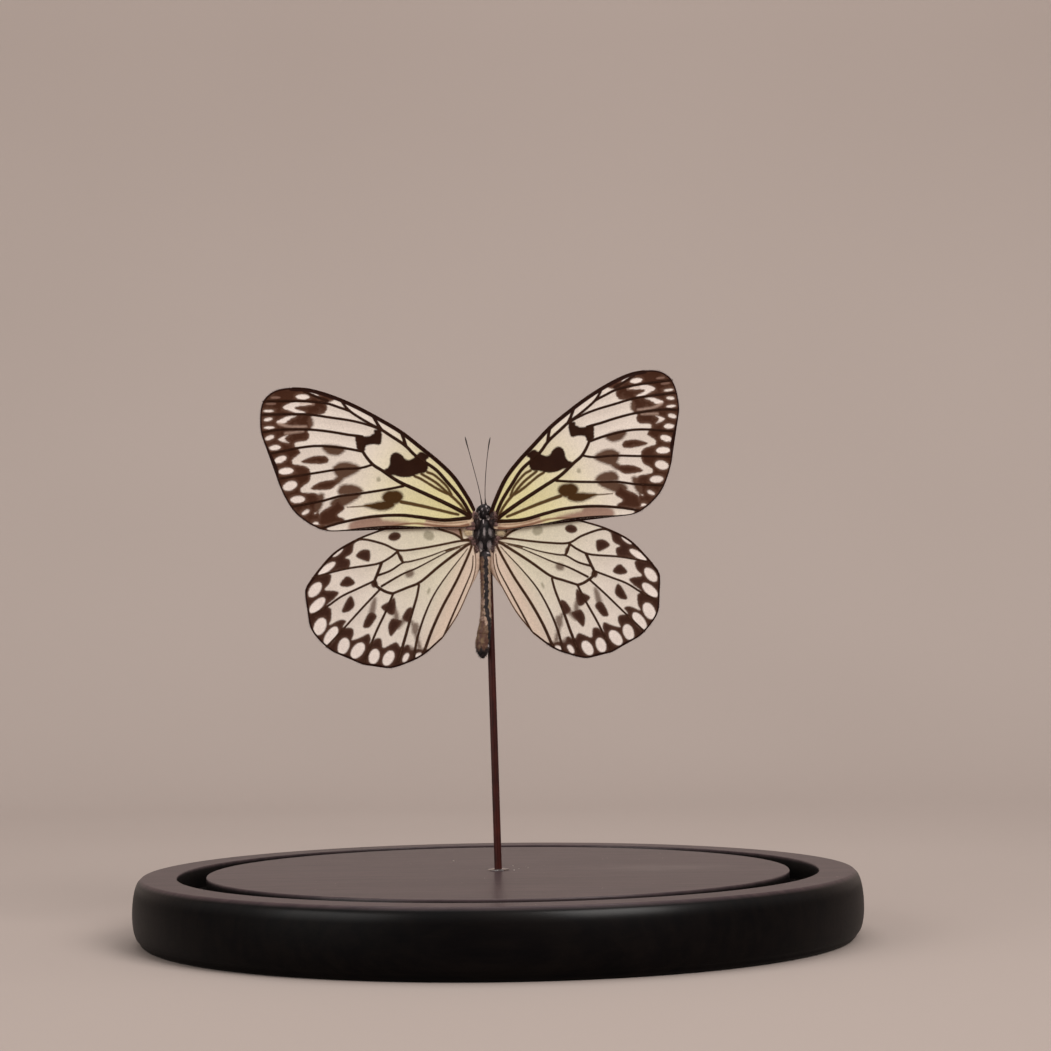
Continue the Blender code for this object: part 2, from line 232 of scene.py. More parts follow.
# %% Vein lines of both wings: points, width at the root, width at the edge
VEINS = {
    "fore": {
        "radius": ([(3.5, 3.0), (6.0, 7.3), (9.9, 12.0), (13.3, 15.7), (18.5, 19.2), (21.8, 22.4),
                    (25.9, 25.2), (28.4, 26.9)],
                   0.75, 0.6),
        "radius_1": ([(21.5, 22.2), (21.9, 23.6), (22.6, 25.6)], 0.65, 0.65),
        "radius_2": ([(28.2, 26.8), (29.2, 28.2), (30.6, 30.6)], 0.6, 0.6),
        "radius_3": ([(28.6, 27.0), (32.2, 28.9), (36.5, 31.6), (38.3, 33.4), (39.4, 35.0)], 0.45, 0.5),
        "radius_3b": ([(36.8, 31.9), (40.4, 33.2), (44.1, 34.3), (50.7, 34.9), (61.2, 35.0)], 0.45, 0.5),
        "radius_4": ([(28.6, 26.9), (32.2, 28.2), (36.5, 29.3), (43.0, 30.3), (49.6, 31.2), (61.6, 31.3)],
                     0.42, 0.45),
        "radius_5": ([(43.2, 34.9), (46.5, 36.2), (49.6, 37.6)], 0.5, 0.5),
        "media_1": ([(33.6, 24.9), (38.0, 25.5), (42.0, 26.2), (48.0, 26.9), (56.0, 27.0), (61.5, 26.3)],
                    0.5, 0.4),
        "media_3": ([(33.5, 20.7), (38.7, 21.7), (45.0, 22.3), (50.0, 22.0), (56.1, 20.9), (59.6, 20.3)],
                    0.5, 0.4),
        "cubitus": ([(3.6, 2.5), (7.0, 4.4), (11.8, 6.8), (18.3, 9.8), (23.7, 12.3), (28.1, 15.3),
                     (30.9, 17.2), (33.5, 20.7), (33.8, 23.0)],
                    0.95, 0.55),
        "cubitus_1": ([(30.9, 17.0), (34.3, 16.1), (40.0, 15.8), (47.4, 14.7), (57.2, 13.2)], 0.4, 0.4),
        "cubitus_2": ([(22.3, 11.0), (27.0, 10.1), (35.0, 8.9), (40.0, 8.3), (45.0, 7.0), (53.2, 5.5)], 0.45,
                      0.4),
        "anal": ([(3.8, 2.1), (7.4, 1.7), (11.8, 1.5), (18.3, 2.4), (23.7, 2.9), (31.3, 2.5), (38.9, 1.15),
                  (45.4, -0.7)],
                 0.85, 0.42),
    },
    "hind": {
        "humeral": ([(3.4, -3.6), (5.6, -4.0), (6.6, -3.2), (8.3, -2.25), (12.5, -0.9), (17.0, 0.3)],
                    0.5, 0.55),
        "subcosta": ([(3.2, -4.2), (6.7, -4.3), (12.5, -5.4), (17.8, -6.3), (23.7, -6.8), (27.7, -5.1),
                      (32.4, -3.8), (34.7, -3.7), (36.1, -4.3)],
                     0.45, 0.5),
        "radius": ([(23.9, -6.9), (26.3, -8.8), (29.9, -10.5), (37.4, -11.6), (42.4, -12.7), (48.0, -14.2)],
                   0.5, 0.4),
        "crossvein": ([(24.0, -7.4), (23.3, -9.1), (22.6, -10.1)], 0.6, 0.6),
        "cell_a": ([(6.5, -5.7), (10.3, -6.7), (15.6, -8.6), (20.6, -9.9), (22.8, -10.3), (26.1, -12.4),
                    (29.9, -13.8)],
                   0.1, 0.5),
        "cell_b": ([(6.5, -6.0), (10.3, -7.4), (14.4, -9.5), (18.9, -11.8), (23.0, -13.5), (28.6, -16.7)],
                   0.1, 0.5),
        "cell_end": ([(28.6, -10.3), (29.9, -13.6), (30.5, -15.2), (29.9, -16.8), (27.4, -18.3),
                      (25.6, -18.8)],
                     0.7, 0.65),
        "cubitus": ([(2.8, -5.0), (4.2, -5.2), (6.9, -7.1), (12.5, -11.3), (17.8, -15.6), (21.7, -17.25),
                     (25.6, -18.8)],
                    0.7, 0.55),
        "media_1": ([(30.6, -15.2), (35.2, -17.3), (39.9, -19.5), (43.8, -22.2), (48.6, -25.0)], 0.45, 0.45),
        "media_3": ([(29.2, -17.7), (33.0, -21.6), (36.9, -25.8), (40.2, -29.4), (44.2, -33.6)], 0.45, 0.4),
        "cubitus_1": ([(25.5, -19.0), (27.7, -24.1), (30.5, -29.9), (33.8, -38.0)], 0.5, 0.5),
        "cubitus_2": ([(18.2, -16.4), (18.9, -19.9), (20.6, -25.4), (22.2, -31.0), (24.2, -37.5)],
                      0.5, 0.75),
        "anal_2": ([(4.4, -6.4), (6.7, -9.3), (10.3, -13.8), (13.9, -19.0), (16.7, -24.9), (18.9, -31.6),
                    (19.8, -36.8)],
                   0.1, 0.6),
        "anal_3": ([(3.3, -5.8), (3.75, -7.0), (5.0, -9.9), (7.8, -15.7), (11.7, -22.7), (14.7, -29.1),
                    (17.1, -35.5)],
                   0.55, 0.7),
        "inner": ([(2.9, -8.4), (3.3, -12.4), (5.6, -17.9), (8.9, -25.2), (11.4, -30.9)], 0.15, 0.45),
    },
}
VEIN_DUST = {"fore": 0.13, "hind": 0.07}    # how far dark scales spread past a vein on each side
# Thin olive or brown folds between the veins, listed the same way
FOLDS = {
    "fore": [([(5.0, 4.0), (6.3, 5.7), (8.5, 7.9), (10.4, 9.4)], 0.6, 0.7),
             ([(8.8, 8.6), (10.3, 11.1), (13.5, 14.0), (15.6, 14.9)], 0.5, 0.6),
             ([(9.6, 8.8), (12.9, 11.8), (17.2, 14.4)], 0.6, 0.6),
             ([(9.9, 8.8), (12.4, 10.0), (17.2, 12.9), (19.2, 13.8)], 0.6, 0.6),
             ([(7.0, 3.0), (9.6, 3.6), (14.0, 4.7), (18.3, 5.7), (22.9, 6.6)], 0.6, 0.9),
             ([(31.5, 5.7), (34.6, 5.4), (38.0, 5.2)], 0.35, 0.1)],
    "hind": [([(6.6, -1.0), (6.2, -2.4), (5.9, -3.8)], 0.5, 0.5),
             ([(4.4, -5.0), (7.4, -6.0), (10.5, -7.0)], 0.15, 0.4)],
}
for kind, veins in VEINS.items():
    print(kind, "wing:", len(veins), "veins and", len(FOLDS[kind]), "folds")

# %% [markdown]
# ## Black markings, smoky patches and white spots of the forewing
# The outer border is one dark area whose inner edge steps in and out from cell to cell. White chevrons and
# a row of ovals are cut out of it. Inside the wing stand a kidney-shaped bar, the black end of the cell and
# a two-lobed olive spot. Soft smoky patches lie beside the veins further out.

# %% Forewing shapes
FORE_BORDER = [(40.2, 36.6), (41.8, 34.9), (43.7, 34.3), (43.2, 33.2), (43.7, 31.9), (45.0, 31.1),
               (47.3, 30.8), (48.2, 29.3), (47.8, 27.6), (48.7, 26.6), (48.3, 25.2), (49.0, 23.9),
               (51.9, 23.4), (52.3, 22.4), (51.4, 21.4), (50.9, 20.3), (52.9, 18.7), (52.7, 17.3),
               (50.0, 16.9), (48.5, 16.0), (48.0, 14.4), (48.4, 12.5), (50.6, 10.8), (50.3, 9.4),
               (46.8, 9.2), (45.3, 7.5), (46.6, 5.6), (45.6, 3.4), (44.6, 1.2), (44.6, -2.5), (60.0, -4.0),
               (68.0, 20.0), (64.0, 42.0), (44.0, 42.0)]
FORE_SPOTS = [((46.9, 36.7), (1.6, 0.38), 20), ((50.0, 36.1), (1.95, 0.78), 2),
              ((59.4, 32.3), (1.5, 0.38), 0), ((59.6, 29.9), (1.3, 0.52), -10),
              ((59.3, 27.6), (1.5, 0.45), 0), ((59.2, 24.8), (1.4, 0.68), -20),
              ((57.8, 22.0), (1.65, 0.78), -5), ((56.3, 18.7), (1.85, 0.95), -20),
              ((54.8, 15.4), (2.1, 1.0), -4), ((53.7, 11.3), (2.1, 1.3), -20),
              ((51.6, 7.5), (2.1, 1.05), -4), ((49.4, 4.0), (1.4, 0.6), -32), ((46.4, 0.8), (1.15, 0.42), 5)]
FORE_FAINT = [((57.5, 36.0), (1.3, 0.26), 0), ((58.8, 34.3), (1.4, 0.32), 0)]
FORE_CHEVRONS = [[(47.4, 34.0), (49.5, 34.7), (52.6, 34.7), (55.5, 33.3), (53.6, 32.2), (50.4, 31.4),
                  (49.2, 31.8), (51.4, 32.5), (52.2, 33.2), (49.8, 33.6)],
                 [(51.8, 30.8), (54.4, 30.7), (57.3, 29.2), (55.9, 28.7), (54.2, 29.2), (53.2, 30.1)],
                 [(54.1, 25.5), (55.6, 25.0), (56.9, 24.2), (55.4, 23.5), (53.9, 23.3), (55.1, 24.4)]]
# Faint pale arms of the chevrons: points, width at the start, width at the end
FORE_ARMS = [([(50.6, 34.2), (49.0, 34.3), (47.0, 34.0)], 0.6, 0.3),
             ([(56.6, 28.7), (54.6, 28.0), (52.0, 27.75), (49.2, 27.8)], 0.6, 0.45),
             ([(54.8, 26.0), (52.5, 26.2), (50.0, 26.4)], 0.5, 0.4)]
FORE_BAR = [(15.0, 19.4), (17.4, 20.5), (19.2, 19.0), (20.5, 18.3), (21.7, 18.6), (22.8, 19.8), (24.4, 20.4),
            (25.8, 19.4), (26.2, 16.6), (27.9, 15.3), (26.9, 14.2), (24.8, 14.0), (22.7, 13.5), (20.0, 13.7),
            (17.8, 14.5), (15.9, 14.9), (15.3, 16.6), (15.9, 18.2)]
FORE_CELL_END = [(28.3, 26.6), (30.2, 26.7), (30.4, 25.7), (32.4, 24.9), (35.3, 25.2), (35.3, 22.6),
                 (34.9, 21.2), (33.0, 21.0), (32.6, 22.3), (30.6, 22.8), (28.5, 22.9)]
FORE_WEDGES = [[(48.8, 29.9), (51.0, 30.3), (53.0, 29.9), (54.5, 29.2), (52.5, 28.5), (49.6, 28.6)],
               [(43.0, 18.3), (44.0, 19.5), (47.5, 19.4), (50.5, 17.9), (47.0, 17.4), (44.0, 17.5)],
               [(40.2, 12.6), (43.7, 12.7), (46.4, 11.8), (47.9, 10.4), (45.0, 10.1), (42.3, 10.4)],
               [(40.6, 7.3), (42.0, 5.9), (43.8, 4.9), (45.7, 3.3), (45.6, 0.2), (41.5, 0.5), (38.6, 1.7),
                (40.7, 3.0), (38.9, 4.6), (39.2, 5.8)]]
FORE_SMOKE = [[(49.4, 30.2), (50.4, 29.4), (50.0, 28.0), (48.0, 27.6), (47.4, 28.6), (47.8, 30.0)],
              [(38.6, 21.5), (41.0, 22.2), (44.4, 22.2), (43.4, 20.6), (42.0, 20.0), (40.0, 20.1)],
              [(41.5, 16.3), (39.5, 17.5), (37.0, 17.4), (34.4, 16.1), (36.5, 14.5), (38.8, 13.4),
               (40.4, 12.0), (41.6, 12.6), (40.5, 13.8), (41.2, 14.9)],
              [(33.8, 9.6), (35.3, 10.9), (37.6, 11.3), (39.7, 10.9), (40.1, 9.0), (36.6, 9.0)],
              [(34.4, 8.6), (37.5, 8.5), (40.9, 7.6), (42.4, 6.2), (40.6, 5.2), (38.6, 5.9), (36.4, 7.1)],
              [(44.6, 8.8), (46.0, 4.3), (49.5, 5.6), (48.0, 7.4)]]
FORE_LOBES = [[(22.7, 8.6), (24.2, 9.5), (26.6, 9.4), (28.0, 8.2), (27.6, 6.9), (26.2, 6.2), (24.0, 6.4),
               (22.9, 7.3)],
              [(25.6, 6.7), (28.4, 6.6), (30.8, 6.1), (33.0, 5.6), (31.0, 4.9), (28.6, 4.4), (26.4, 4.8),
               (25.0, 5.7)]]
FORE_STREAK = ([(41.2, 7.6), (43.6, 6.0), (46.9, 3.6)], 0.75, 0.3)
FORE_BLUSH = [(2.0, 2.2), (7.4, 1.3), (12.0, 1.1), (15.5, 1.7), (16.5, 0.2), (16.0, -1.6), (2.0, -1.6)]
FORE_PINK = [(21.0, 0.7), (25.5, 1.3), (28.2, 1.6), (29.6, 2.6), (33.5, 2.1), (37.0, 0.9), (36.6, -1.2),
             (28.0, -0.4)]
FORE_BANDS = [([(4.2, 0.15), (7.4, -0.4), (12.9, -0.1), (19.4, 0.6), (26.0, -0.1), (32.0, -0.9)], 0.75, 0.3),
              ([(4.6, 1.0), (8.0, 0.7), (12.0, 0.7), (16.0, 1.3)], 0.15, 0.3)]
FORE_GREY = ((29.2, 12.9), (0.5, 0.6))


def forewing_pattern(at):
    """Distances of the forewing's markings at points of its plane."""
    ovals = nearest(oval, at, FORE_SPOTS) + 0.05
    chevrons = nearest(patch, at, FORE_CHEVRONS)
    streak = stroke(at, *FORE_STREAK)
    border = carve(patch(at, *FORE_BORDER), ovals, chevrons, streak)
    wedges = carve(nearest(patch, at, FORE_WEDGES), streak)
    return {"ink": union(border, wedges, nearest(patch, at, [FORE_BAR, FORE_CELL_END])),
            "smoke": nearest(patch, at, FORE_SMOKE), "olive": nearest(patch, at, FORE_LOBES),
            "pink": patch(at, *FORE_PINK), "blush": patch(at, *FORE_BLUSH),
            "russet": nearest(stroke, at, FORE_BANDS), "haze": nearest(stroke, at, FORE_ARMS),
            "spot": union(ovals, chevrons), "faint": nearest(oval, at, FORE_FAINT),
            "grey": oval(at, *FORE_GREY)}


print("forewing:", len(FORE_SPOTS), "white ovals,", len(FORE_CHEVRONS), "chevrons,",
      len(FORE_SMOKE), "smoky patches")

# %% [markdown]
# ## Markings of the hindwing
# A row of free spots crosses the middle, and the border is a row of dark cups, each round a white oval. The
# ovals have to lie in their cups whatever is changed, so the scalloped band is drawn as one dark shape and
# the ovals are cut out of it. The rims and the folds of both wings join here, since both wings have them.

# %% Hindwing shapes
HIND_OVALS = [((40.7, -7.2), (2.0, 0.75), -40), ((43.8, -11.6), (3.0, 1.1), -35),
              ((47.1, -17.5), (2.6, 1.55), -50), ((46.5, -21.8), (3.0, 1.45), -43),
              ((45.8, -27.7), (2.7, 1.8), -65), ((42.8, -30.3), (3.1, 1.55), -55),
              ((39.3, -33.2), (2.5, 1.7), -70), ((35.4, -34.5), (2.7, 1.7), -52),
              ((30.9, -36.2), (2.3, 1.6), -72), ((26.9, -36.7), (2.4, 1.6), -60),
              ((22.1, -36.6), (1.6, 0.9), -60), ((18.7, -36.0), (1.3, 0.8), -30)]
HIND_BORDER = [(36.0, -3.4), (36.3, -5.2), (36.8, -7.4), (38.6, -8.7), (37.4, -9.4), (37.8, -11.6),
               (41.0, -12.2), (43.4, -12.9), (42.6, -13.6), (43.0, -15.6), (44.4, -17.6), (41.5, -17.9),
               (40.6, -18.6), (42.0, -20.2), (43.9, -21.9), (42.7, -23.0), (42.7, -25.6), (43.2, -27.3),
               (40.4, -26.0), (38.6, -26.3), (39.4, -28.0), (37.0, -28.3), (36.5, -29.8), (37.0, -31.6),
               (34.4, -30.8), (32.4, -29.9), (31.8, -31.2), (32.0, -32.6), (30.4, -31.3), (28.9, -31.4),
               (28.4, -33.8), (26.2, -32.9), (24.6, -32.4), (23.3, -33.8), (21.4, -33.1), (20.6, -34.6),
               (18.6, -34.3), (17.0, -34.6), (15.2, -34.4), (13.0, -36.0), (22.0, -44.0), (42.0, -42.0),
               (56.0, -26.0), (54.0, -8.0), (44.0, -2.0)]
HIND_PATCHES = [[(31.9, -6.8), (34.2, -6.7), (35.7, -8.3), (34.0, -9.3), (32.0, -9.7)],
                [(36.2, -15.2), (37.9, -13.9), (39.2, -14.6), (40.2, -16.3), (38.2, -16.8), (36.3, -16.1)],
                [(36.3, -20.8), (37.2, -19.4), (38.4, -20.6), (39.7, -23.6), (38.0, -23.7), (36.4, -22.4)],
                [(30.1, -24.9), (31.4, -24.0), (32.7, -24.8), (33.9, -27.9), (32.2, -28.1), (30.9, -26.6)],
                [(25.1, -20.0), (26.4, -20.9), (28.8, -22.4), (27.6, -23.8), (25.6, -24.8), (24.8, -22.6)],
                [(23.1, -26.6), (24.8, -25.9), (26.0, -25.9), (26.9, -28.0), (26.3, -30.6), (24.8, -29.2)],
                [(20.2, -22.8), (21.4, -23.0), (22.6, -24.6), (22.8, -25.8), (21.4, -26.8), (20.5, -25.4)]]
HIND_SMOKE = [[(30.4, -20.2), (31.4, -21.8), (32.0, -24.8), (31.0, -24.6)],
              [(18.7, -27.6), (19.9, -27.4), (19.9, -29.8), (18.8, -29.6)],
              [(17.2, -34.4), (19.6, -34.2), (21.6, -33.4), (21.4, -35.0), (18.4, -35.0)]]
HIND_BLOBS = [((30.6, -16.1), (0.95, 1.0), 0), ((23.1, -8.9), (0.4, 1.0), -20),
              ((24.9, -2.9), (1.75, 1.15), -12)]
HIND_CELL_SPOT = ((20.8, -13.3), (0.95, 0.75), -30)
HIND_BANDS = [([(20.3, -26.8), (19.2, -30.2), (18.2, -33.8)], 0.35, 0.6),
              ([(25.3, -23.0), (24.6, -25.0), (24.8, -27.0)], 0.9, 0.9),
              ([(24.2, -28.0), (22.9, -26.6), (21.4, -25.0)], 0.9, 0.9)]
HIND_PINK = [(6.3, -3.0), (9.5, -1.6), (16.0, 0.0), (16.0, 2.0), (6.4, 1.4)]
HIND_GREYS = [((15.3, -2.7), (1.5, 1.2), 25), ((15.5, -18.2), (0.3, 0.8), 20)]


def hindwing_pattern(at):
    """Distances of the hindwing's markings at points of its plane."""
    ovals = nearest(oval, at, HIND_OVALS) + 0.14
    border = carve(patch(at, *HIND_BORDER), ovals)
    return {"ink": union(border, nearest(patch, at, HIND_PATCHES), nearest(oval, at, HIND_BLOBS)),
            "smoke": union(nearest(patch, at, HIND_SMOKE), oval(at, *HIND_CELL_SPOT),
                           nearest(stroke, at, HIND_BANDS)),
            "pink": patch(at, *HIND_PINK), "spot": ovals, "grey": nearest(oval, at, HIND_GREYS)}


# Dark rims: which edge of the outline, width at its start, width at its end
RIMS = {"fore": [("front", 1.8, 1.8), ("outer", 0.8, 0.8), ("hind", 0.2, 0.6)],
        "hind": [("front", 0.35, 1.1), ("outer", 1.0, 0.9), ("hind", 0.3, 0.7)]}
ONLY_ON_FOREWING = ("olive", "russet", "blush", "faint", "haze")
NOWHERE = 9.0                       # the distance of a marking that a wing doesn't have


def wing_pattern(at, kind):
    """Every distance that a wing's finish needs, by name."""
    if kind == "fore":
        shapes = forewing_pattern(at)
    else:
        shapes = hindwing_pattern(at) | {label: np.full(len(at), NOWHERE) for label in ONLY_ON_FOREWING}
    shapes["rim"] = union(*[stroke(at, OUTLINES[kind][edge], *widths) for edge, *widths in RIMS[kind]])
    shapes["vein"] = nearest(stroke, at, VEINS[kind].values()) - VEIN_DUST[kind]
    shapes["fold"] = nearest(stroke, at, FOLDS[kind])
    return shapes


print("hindwing:", len(HIND_OVALS), "white ovals,", len(HIND_PATCHES) + len(HIND_BLOBS), "dark spots")

# %% [markdown]
# ## Shader maths as ordinary sums
# A finish is easier to read as an expression than as a list of nodes. The class below wraps one socket and
# overloads the operators, so that `1 - mask` adds the Math node by itself. Colours are blended with Mix
# nodes, because a Math node would turn them grey.

# %% One wrapped socket
class Sock:
    """A shader socket that takes part in Python sums. link is None for a bare starting point."""

    def __init__(self, tree, link=None):
        self.tree = tree
        self.link = link

    def node(self, kind, settings=None, sockets=None, out=0):
        """Any node: its settings are made first, then the values or links of its sockets."""
        made = self.tree.nodes.new(kind)
        for name, value in (settings or {}).items():
            setattr(made, name, value)
        for key, value in (sockets or {}).items():
            if isinstance(value, Sock):
                self.tree.links.new(value.link, made.inputs[key])
            else:
                made.inputs[key].default_value = value
        return Sock(self.tree, made.outputs[out])

    def sum(self, operation, *others):
        return self.node("ShaderNodeMath", {"operation": operation}, dict(enumerate((self,) + others)))

    def __add__(self, other):
        return self.sum("ADD", other)

    __radd__ = __add__

    def __sub__(self, other):
        return self.sum("SUBTRACT", other)

    def __rsub__(self, other):
        return self.node("ShaderNodeMath", {"operation": "SUBTRACT"}, {0: other, 1: self})

    def __mul__(self, other):
        return self.sum("MULTIPLY", other)

    __rmul__ = __mul__

    def __truediv__(self, other):
        return self.sum("DIVIDE", other)

    def between(self, low, high):
        """0 at low and 1 at high, with a soft start and end. low may be the greater."""
        return self.node("ShaderNodeMapRange", {"interpolation_type": "SMOOTHSTEP"},
                         {"Value": self, "From Min": low, "From Max": high})

    def parts(self):
        """The three numbers of this vector."""
        split = self.node("ShaderNodeSeparateXYZ", None, {0: self})
        return [Sock(self.tree, number) for number in split.link.node.outputs]

    def scaled(self, factor):
        """This vector or colour times a number."""
        return self.node("ShaderNodeVectorMath", {"operation": "SCALE"}, {0: self, "Scale": factor})

    def spread(self, factors):
        """This vector with each of its numbers times its own factor."""
        return self.node("ShaderNodeVectorMath", {"operation": "MULTIPLY"}, {0: self, 1: factors})

    def blend(self, first, second):
        """A colour that goes from first to second as this value goes from 0 to 1."""
        return self.node("ShaderNodeMix", {"data_type": "RGBA"}, {0: self, 6: first, 7: second}, out=2)

    def noise(self, scale, detail=3.0, stretch=(1, 1, 1), roughness=0.5):
        """Noise of about one patch per 1/scale of this vector's unit."""
        placed = self.node("ShaderNodeMapping", None, {"Vector": self, "Scale": stretch})
        return placed.node("ShaderNodeTexNoise", None,
                           {"Vector": placed, "Scale": scale, "Detail": detail, "Roughness": roughness})


def paint(red, green, blue):
    """A colour given as 0 to 255 on screen, as a shader's linear colour."""
    def linear(value):
        value /= 255
        return value / 12.92 if value <= 0.04045 else ((value + 0.055) / 1.055) ** 2.4
    return (linear(red), linear(green), linear(blue), 1.0)


def start_material(name):
    """A new material, its bare starting socket and its Principled shader node."""
    material = bpy.data.materials.new(name)
    material.use_nodes = True
    return material, Sock(material.node_tree), material.node_tree.nodes["Principled BSDF"]


def wire(start, shader, **feeds):
    """Link or set the shader's sockets, named with _ for each space."""
    for name, value in feeds.items():
        socket = shader.inputs[name.replace("_", " ")]
        if isinstance(value, Sock):
            start.tree.links.new(value.link, socket)
        else:
            socket.default_value = value


def object_place(start):
    """Object coordinates in millimetres."""
    return start.node("ShaderNodeTexCoord", out=3).scaled(1 / MM)


def stored(start, label, out=2):
    """A number that a mesh keeps on its points. With out=1 it is a vector."""
    return start.node("ShaderNodeAttribute", {"attribute_name": label}, out=out)


def bump(start, height, depth):
    """A normal from a height of 0 to 1, depth in metres."""
    return start.node("ShaderNodeBump", None, {"Strength": 1.0, "Distance": depth, "Height": height})


def mottled(name, first, second, patches, limits, grain, depth, **feeds):
    """A finish in two tones with a fine bumpy grain. patches and grain are a noise's scale and detail."""
    material, start, shader = start_material(name)
    place = object_place(start)
    colour = place.noise(*patches).between(*limits).blend(paint(*first), paint(*second))
    wire(start, shader, Base_Color=colour, Normal=bump(start, place.noise(*grain), depth * MM), **feeds)
    return material


print("mid grey on screen is", round(paint(128, 128, 128)[0], 3), "to a shader")

# %% [markdown]
# ## Pieces
# Every finished piece goes through one small function: it takes its place in the collection, rides on the
# object's one body, and names the plain solid that it stands for.

# %% Making a piece
PIECES = bpy.data.collections.new("looks")
bpy.context.scene.collection.children.link(PIECES)


def from_bmesh(name, bm):
    """The finished mesh of a BMesh, which is freed."""
    mesh = bpy.data.meshes.new(name)
    bm.to_mesh(mesh)
    bm.free()
    return mesh


def add_object(name, mesh, material=None):
    """A mesh object in the looks collection, shaded smooth."""
    piece = bpy.data.objects.new(name, mesh)
    PIECES.objects.link(piece)
    mesh.shade_smooth()
    if material:
        mesh.materials.clear()
        mesh.materials.append(material)
    return piece


def hand_over(piece, node):
    """Tell the frame what the finished piece is."""
    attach(piece, "root")
    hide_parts(node)
    print(f"{piece.name}: {len(piece.data.polygons)} faces, stands for {node}")


def plain_mesh(piece):
    """Apply a piece's modifiers: its evaluated shape becomes its mesh, and the modifiers go."""
    seen = bpy.context.evaluated_depsgraph_get()
    shape = bpy.data.meshes.new_from_object(piece.evaluated_get(seen), preserve_all_data_layers=True,
                                            depsgraph=seen)
    piece.modifiers.clear()
    piece.data = shape
    return piece


def store(mesh, name, values, kind="FLOAT"):
    """Keep one number, or one vector, per point on a mesh."""
    layer = mesh.attributes.new(name, kind, "POINT")
    field = "value" if kind == "FLOAT" else "vector"
    layer.data.foreach_set(field, np.asarray(values, np.float32).ravel())


print("pieces go to the collection", PIECES.name)

# %% [markdown]
# ## The wing blades
# A wing is a membrane a few hundredths of a millimetre thick, dusted with scales, and drawn into shallow
# pleats between its veins. It could be a plane with a picture on it. Here it is a real closed blade, filled
# with even triangles about a quarter of a millimetre apart, so that the pleats and the slight wave of a dry
# wing are shape, and so that each point can carry the distances worked out above.

# %% Fill an outline, pleat it and give it two sides
BLADE_STEP = 0.27
BLADE_HALF = 0.07                   # half the blade's thickness with its scales
PLEAT = 0.2                         # how far the membrane sinks between veins


def wave(out, up):
    """The slow, shallow wave of a dry wing, growing towards its edge."""
    reach = np.hypot(out, up) / 60
    slow = 0.3 * reach * np.sin(0.21 * out + 0.13 * up + 0.8)
    return slow + 0.16 * reach ** 2 * np.sin(0.5 * up - 0.2 * out)


def fill_wing(kind):
    """Even points inside the wing's outline, and the triangles between them."""
    loop = outline_loop(OUTLINES[kind], BLADE_STEP)
    low, high = loop.min(axis=0), loop.max(axis=0)
    rows = np.arange(low[1], high[1], BLADE_STEP * math.sqrt(3) / 2)
    columns = np.arange(low[0], high[0], BLADE_STEP)
    grid = np.vstack([np.stack([columns + (i % 2) * BLADE_STEP / 2, np.full(len(columns), up)], axis=1)
                      for i, up in enumerate(rows)])
    grid = grid[loop_distance(grid, loop[::3]) < 0.5]
    grid = grid[loop_distance(grid, loop) < -0.7 * BLADE_STEP]
    points = [Vector(point) for point in np.vstack([loop, grid])]
    filled = delaunay_2d_cdt(points, [], [list(range(len(loop)))], 1, 1e-6, False)
    at = np.array([tuple(point) for point in filled[0]])
    return at, np.array(filled[2]), len(loop)


# %% Blade
def make_blade(name, kind, pose, at, triangles, rim, shapes, material):
    """The closed blade of one wing, with its distances stored on its points."""
    out, up = at[:, 0], at[:, 1]
    sink = PLEAT * (1 - np.exp(-np.clip(shapes["vein"], 0, 9) / 1.1))
    sink *= np.clip(-shapes["edge"] / 1.5, 0.25, 1)
    middle = wave(out, up) - sink
    front = on_wing(out, up, middle + BLADE_HALF, pose, kind)
    back = on_wing(out, up, middle - BLADE_HALF, pose, kind)
    count = len(at)
    ring = np.arange(rim)
    after = np.roll(ring, -1)
    walls = np.vstack([np.stack([ring, ring + count, after], axis=1),
                       np.stack([after, ring + count, after + count], axis=1)])
    faces = np.vstack([triangles, triangles[:, ::-1] + count, walls])
    if pose["side"] < 0:
        faces = faces[:, ::-1]
    mesh = bpy.data.meshes.new(name)
    mesh.from_pydata(np.vstack([front, back]).tolist(), [], faces.tolist())
    for label, values in shapes.items():
        if label != "edge":
            store(mesh, label, np.tile(values, 2))
    sides = np.repeat([1.0, -1.0], count)
    store(mesh, "plan", np.stack([np.tile(out, 2), np.tile(up, 2), sides], axis=1), "FLOAT_VECTOR")
    return add_object(name, mesh, material)


# %% [markdown]
# ## The finish of a scaled wing
# Scales lie in rows like roof tiles. Their colour comes from the stored distances: each marking is laid over
# the last one with an edge as sharp as the real one, frayed a little by noise because single scales stray
# over it. Cream turns yellow-green towards the root and pinkish towards the tip.

# %% Wing finish
# What differs between the wings: how stray scales stretch, and the tones and strengths of their colours
WING_LOOKS = {
    "fore": {"stretch": (0.4, 1.3, 1), "cream": (222, 212, 186), "yellow": 0.8, "smoke": 1.0, "ink_fray": 0.8,
             "ink": (66, 38, 25), "veins": ((42, 20, 6), (46, 24, 13)), "front_rim": (38, 17, 11)},
    "hind": {"stretch": (1, 1, 1), "cream": (213, 204, 186), "yellow": 0.12, "smoke": 0.82, "ink_fray": 0.5,
             "ink": (60, 36, 27), "veins": ((74, 49, 30), (56, 33, 22)), "front_rim": (98, 68, 48)},
}
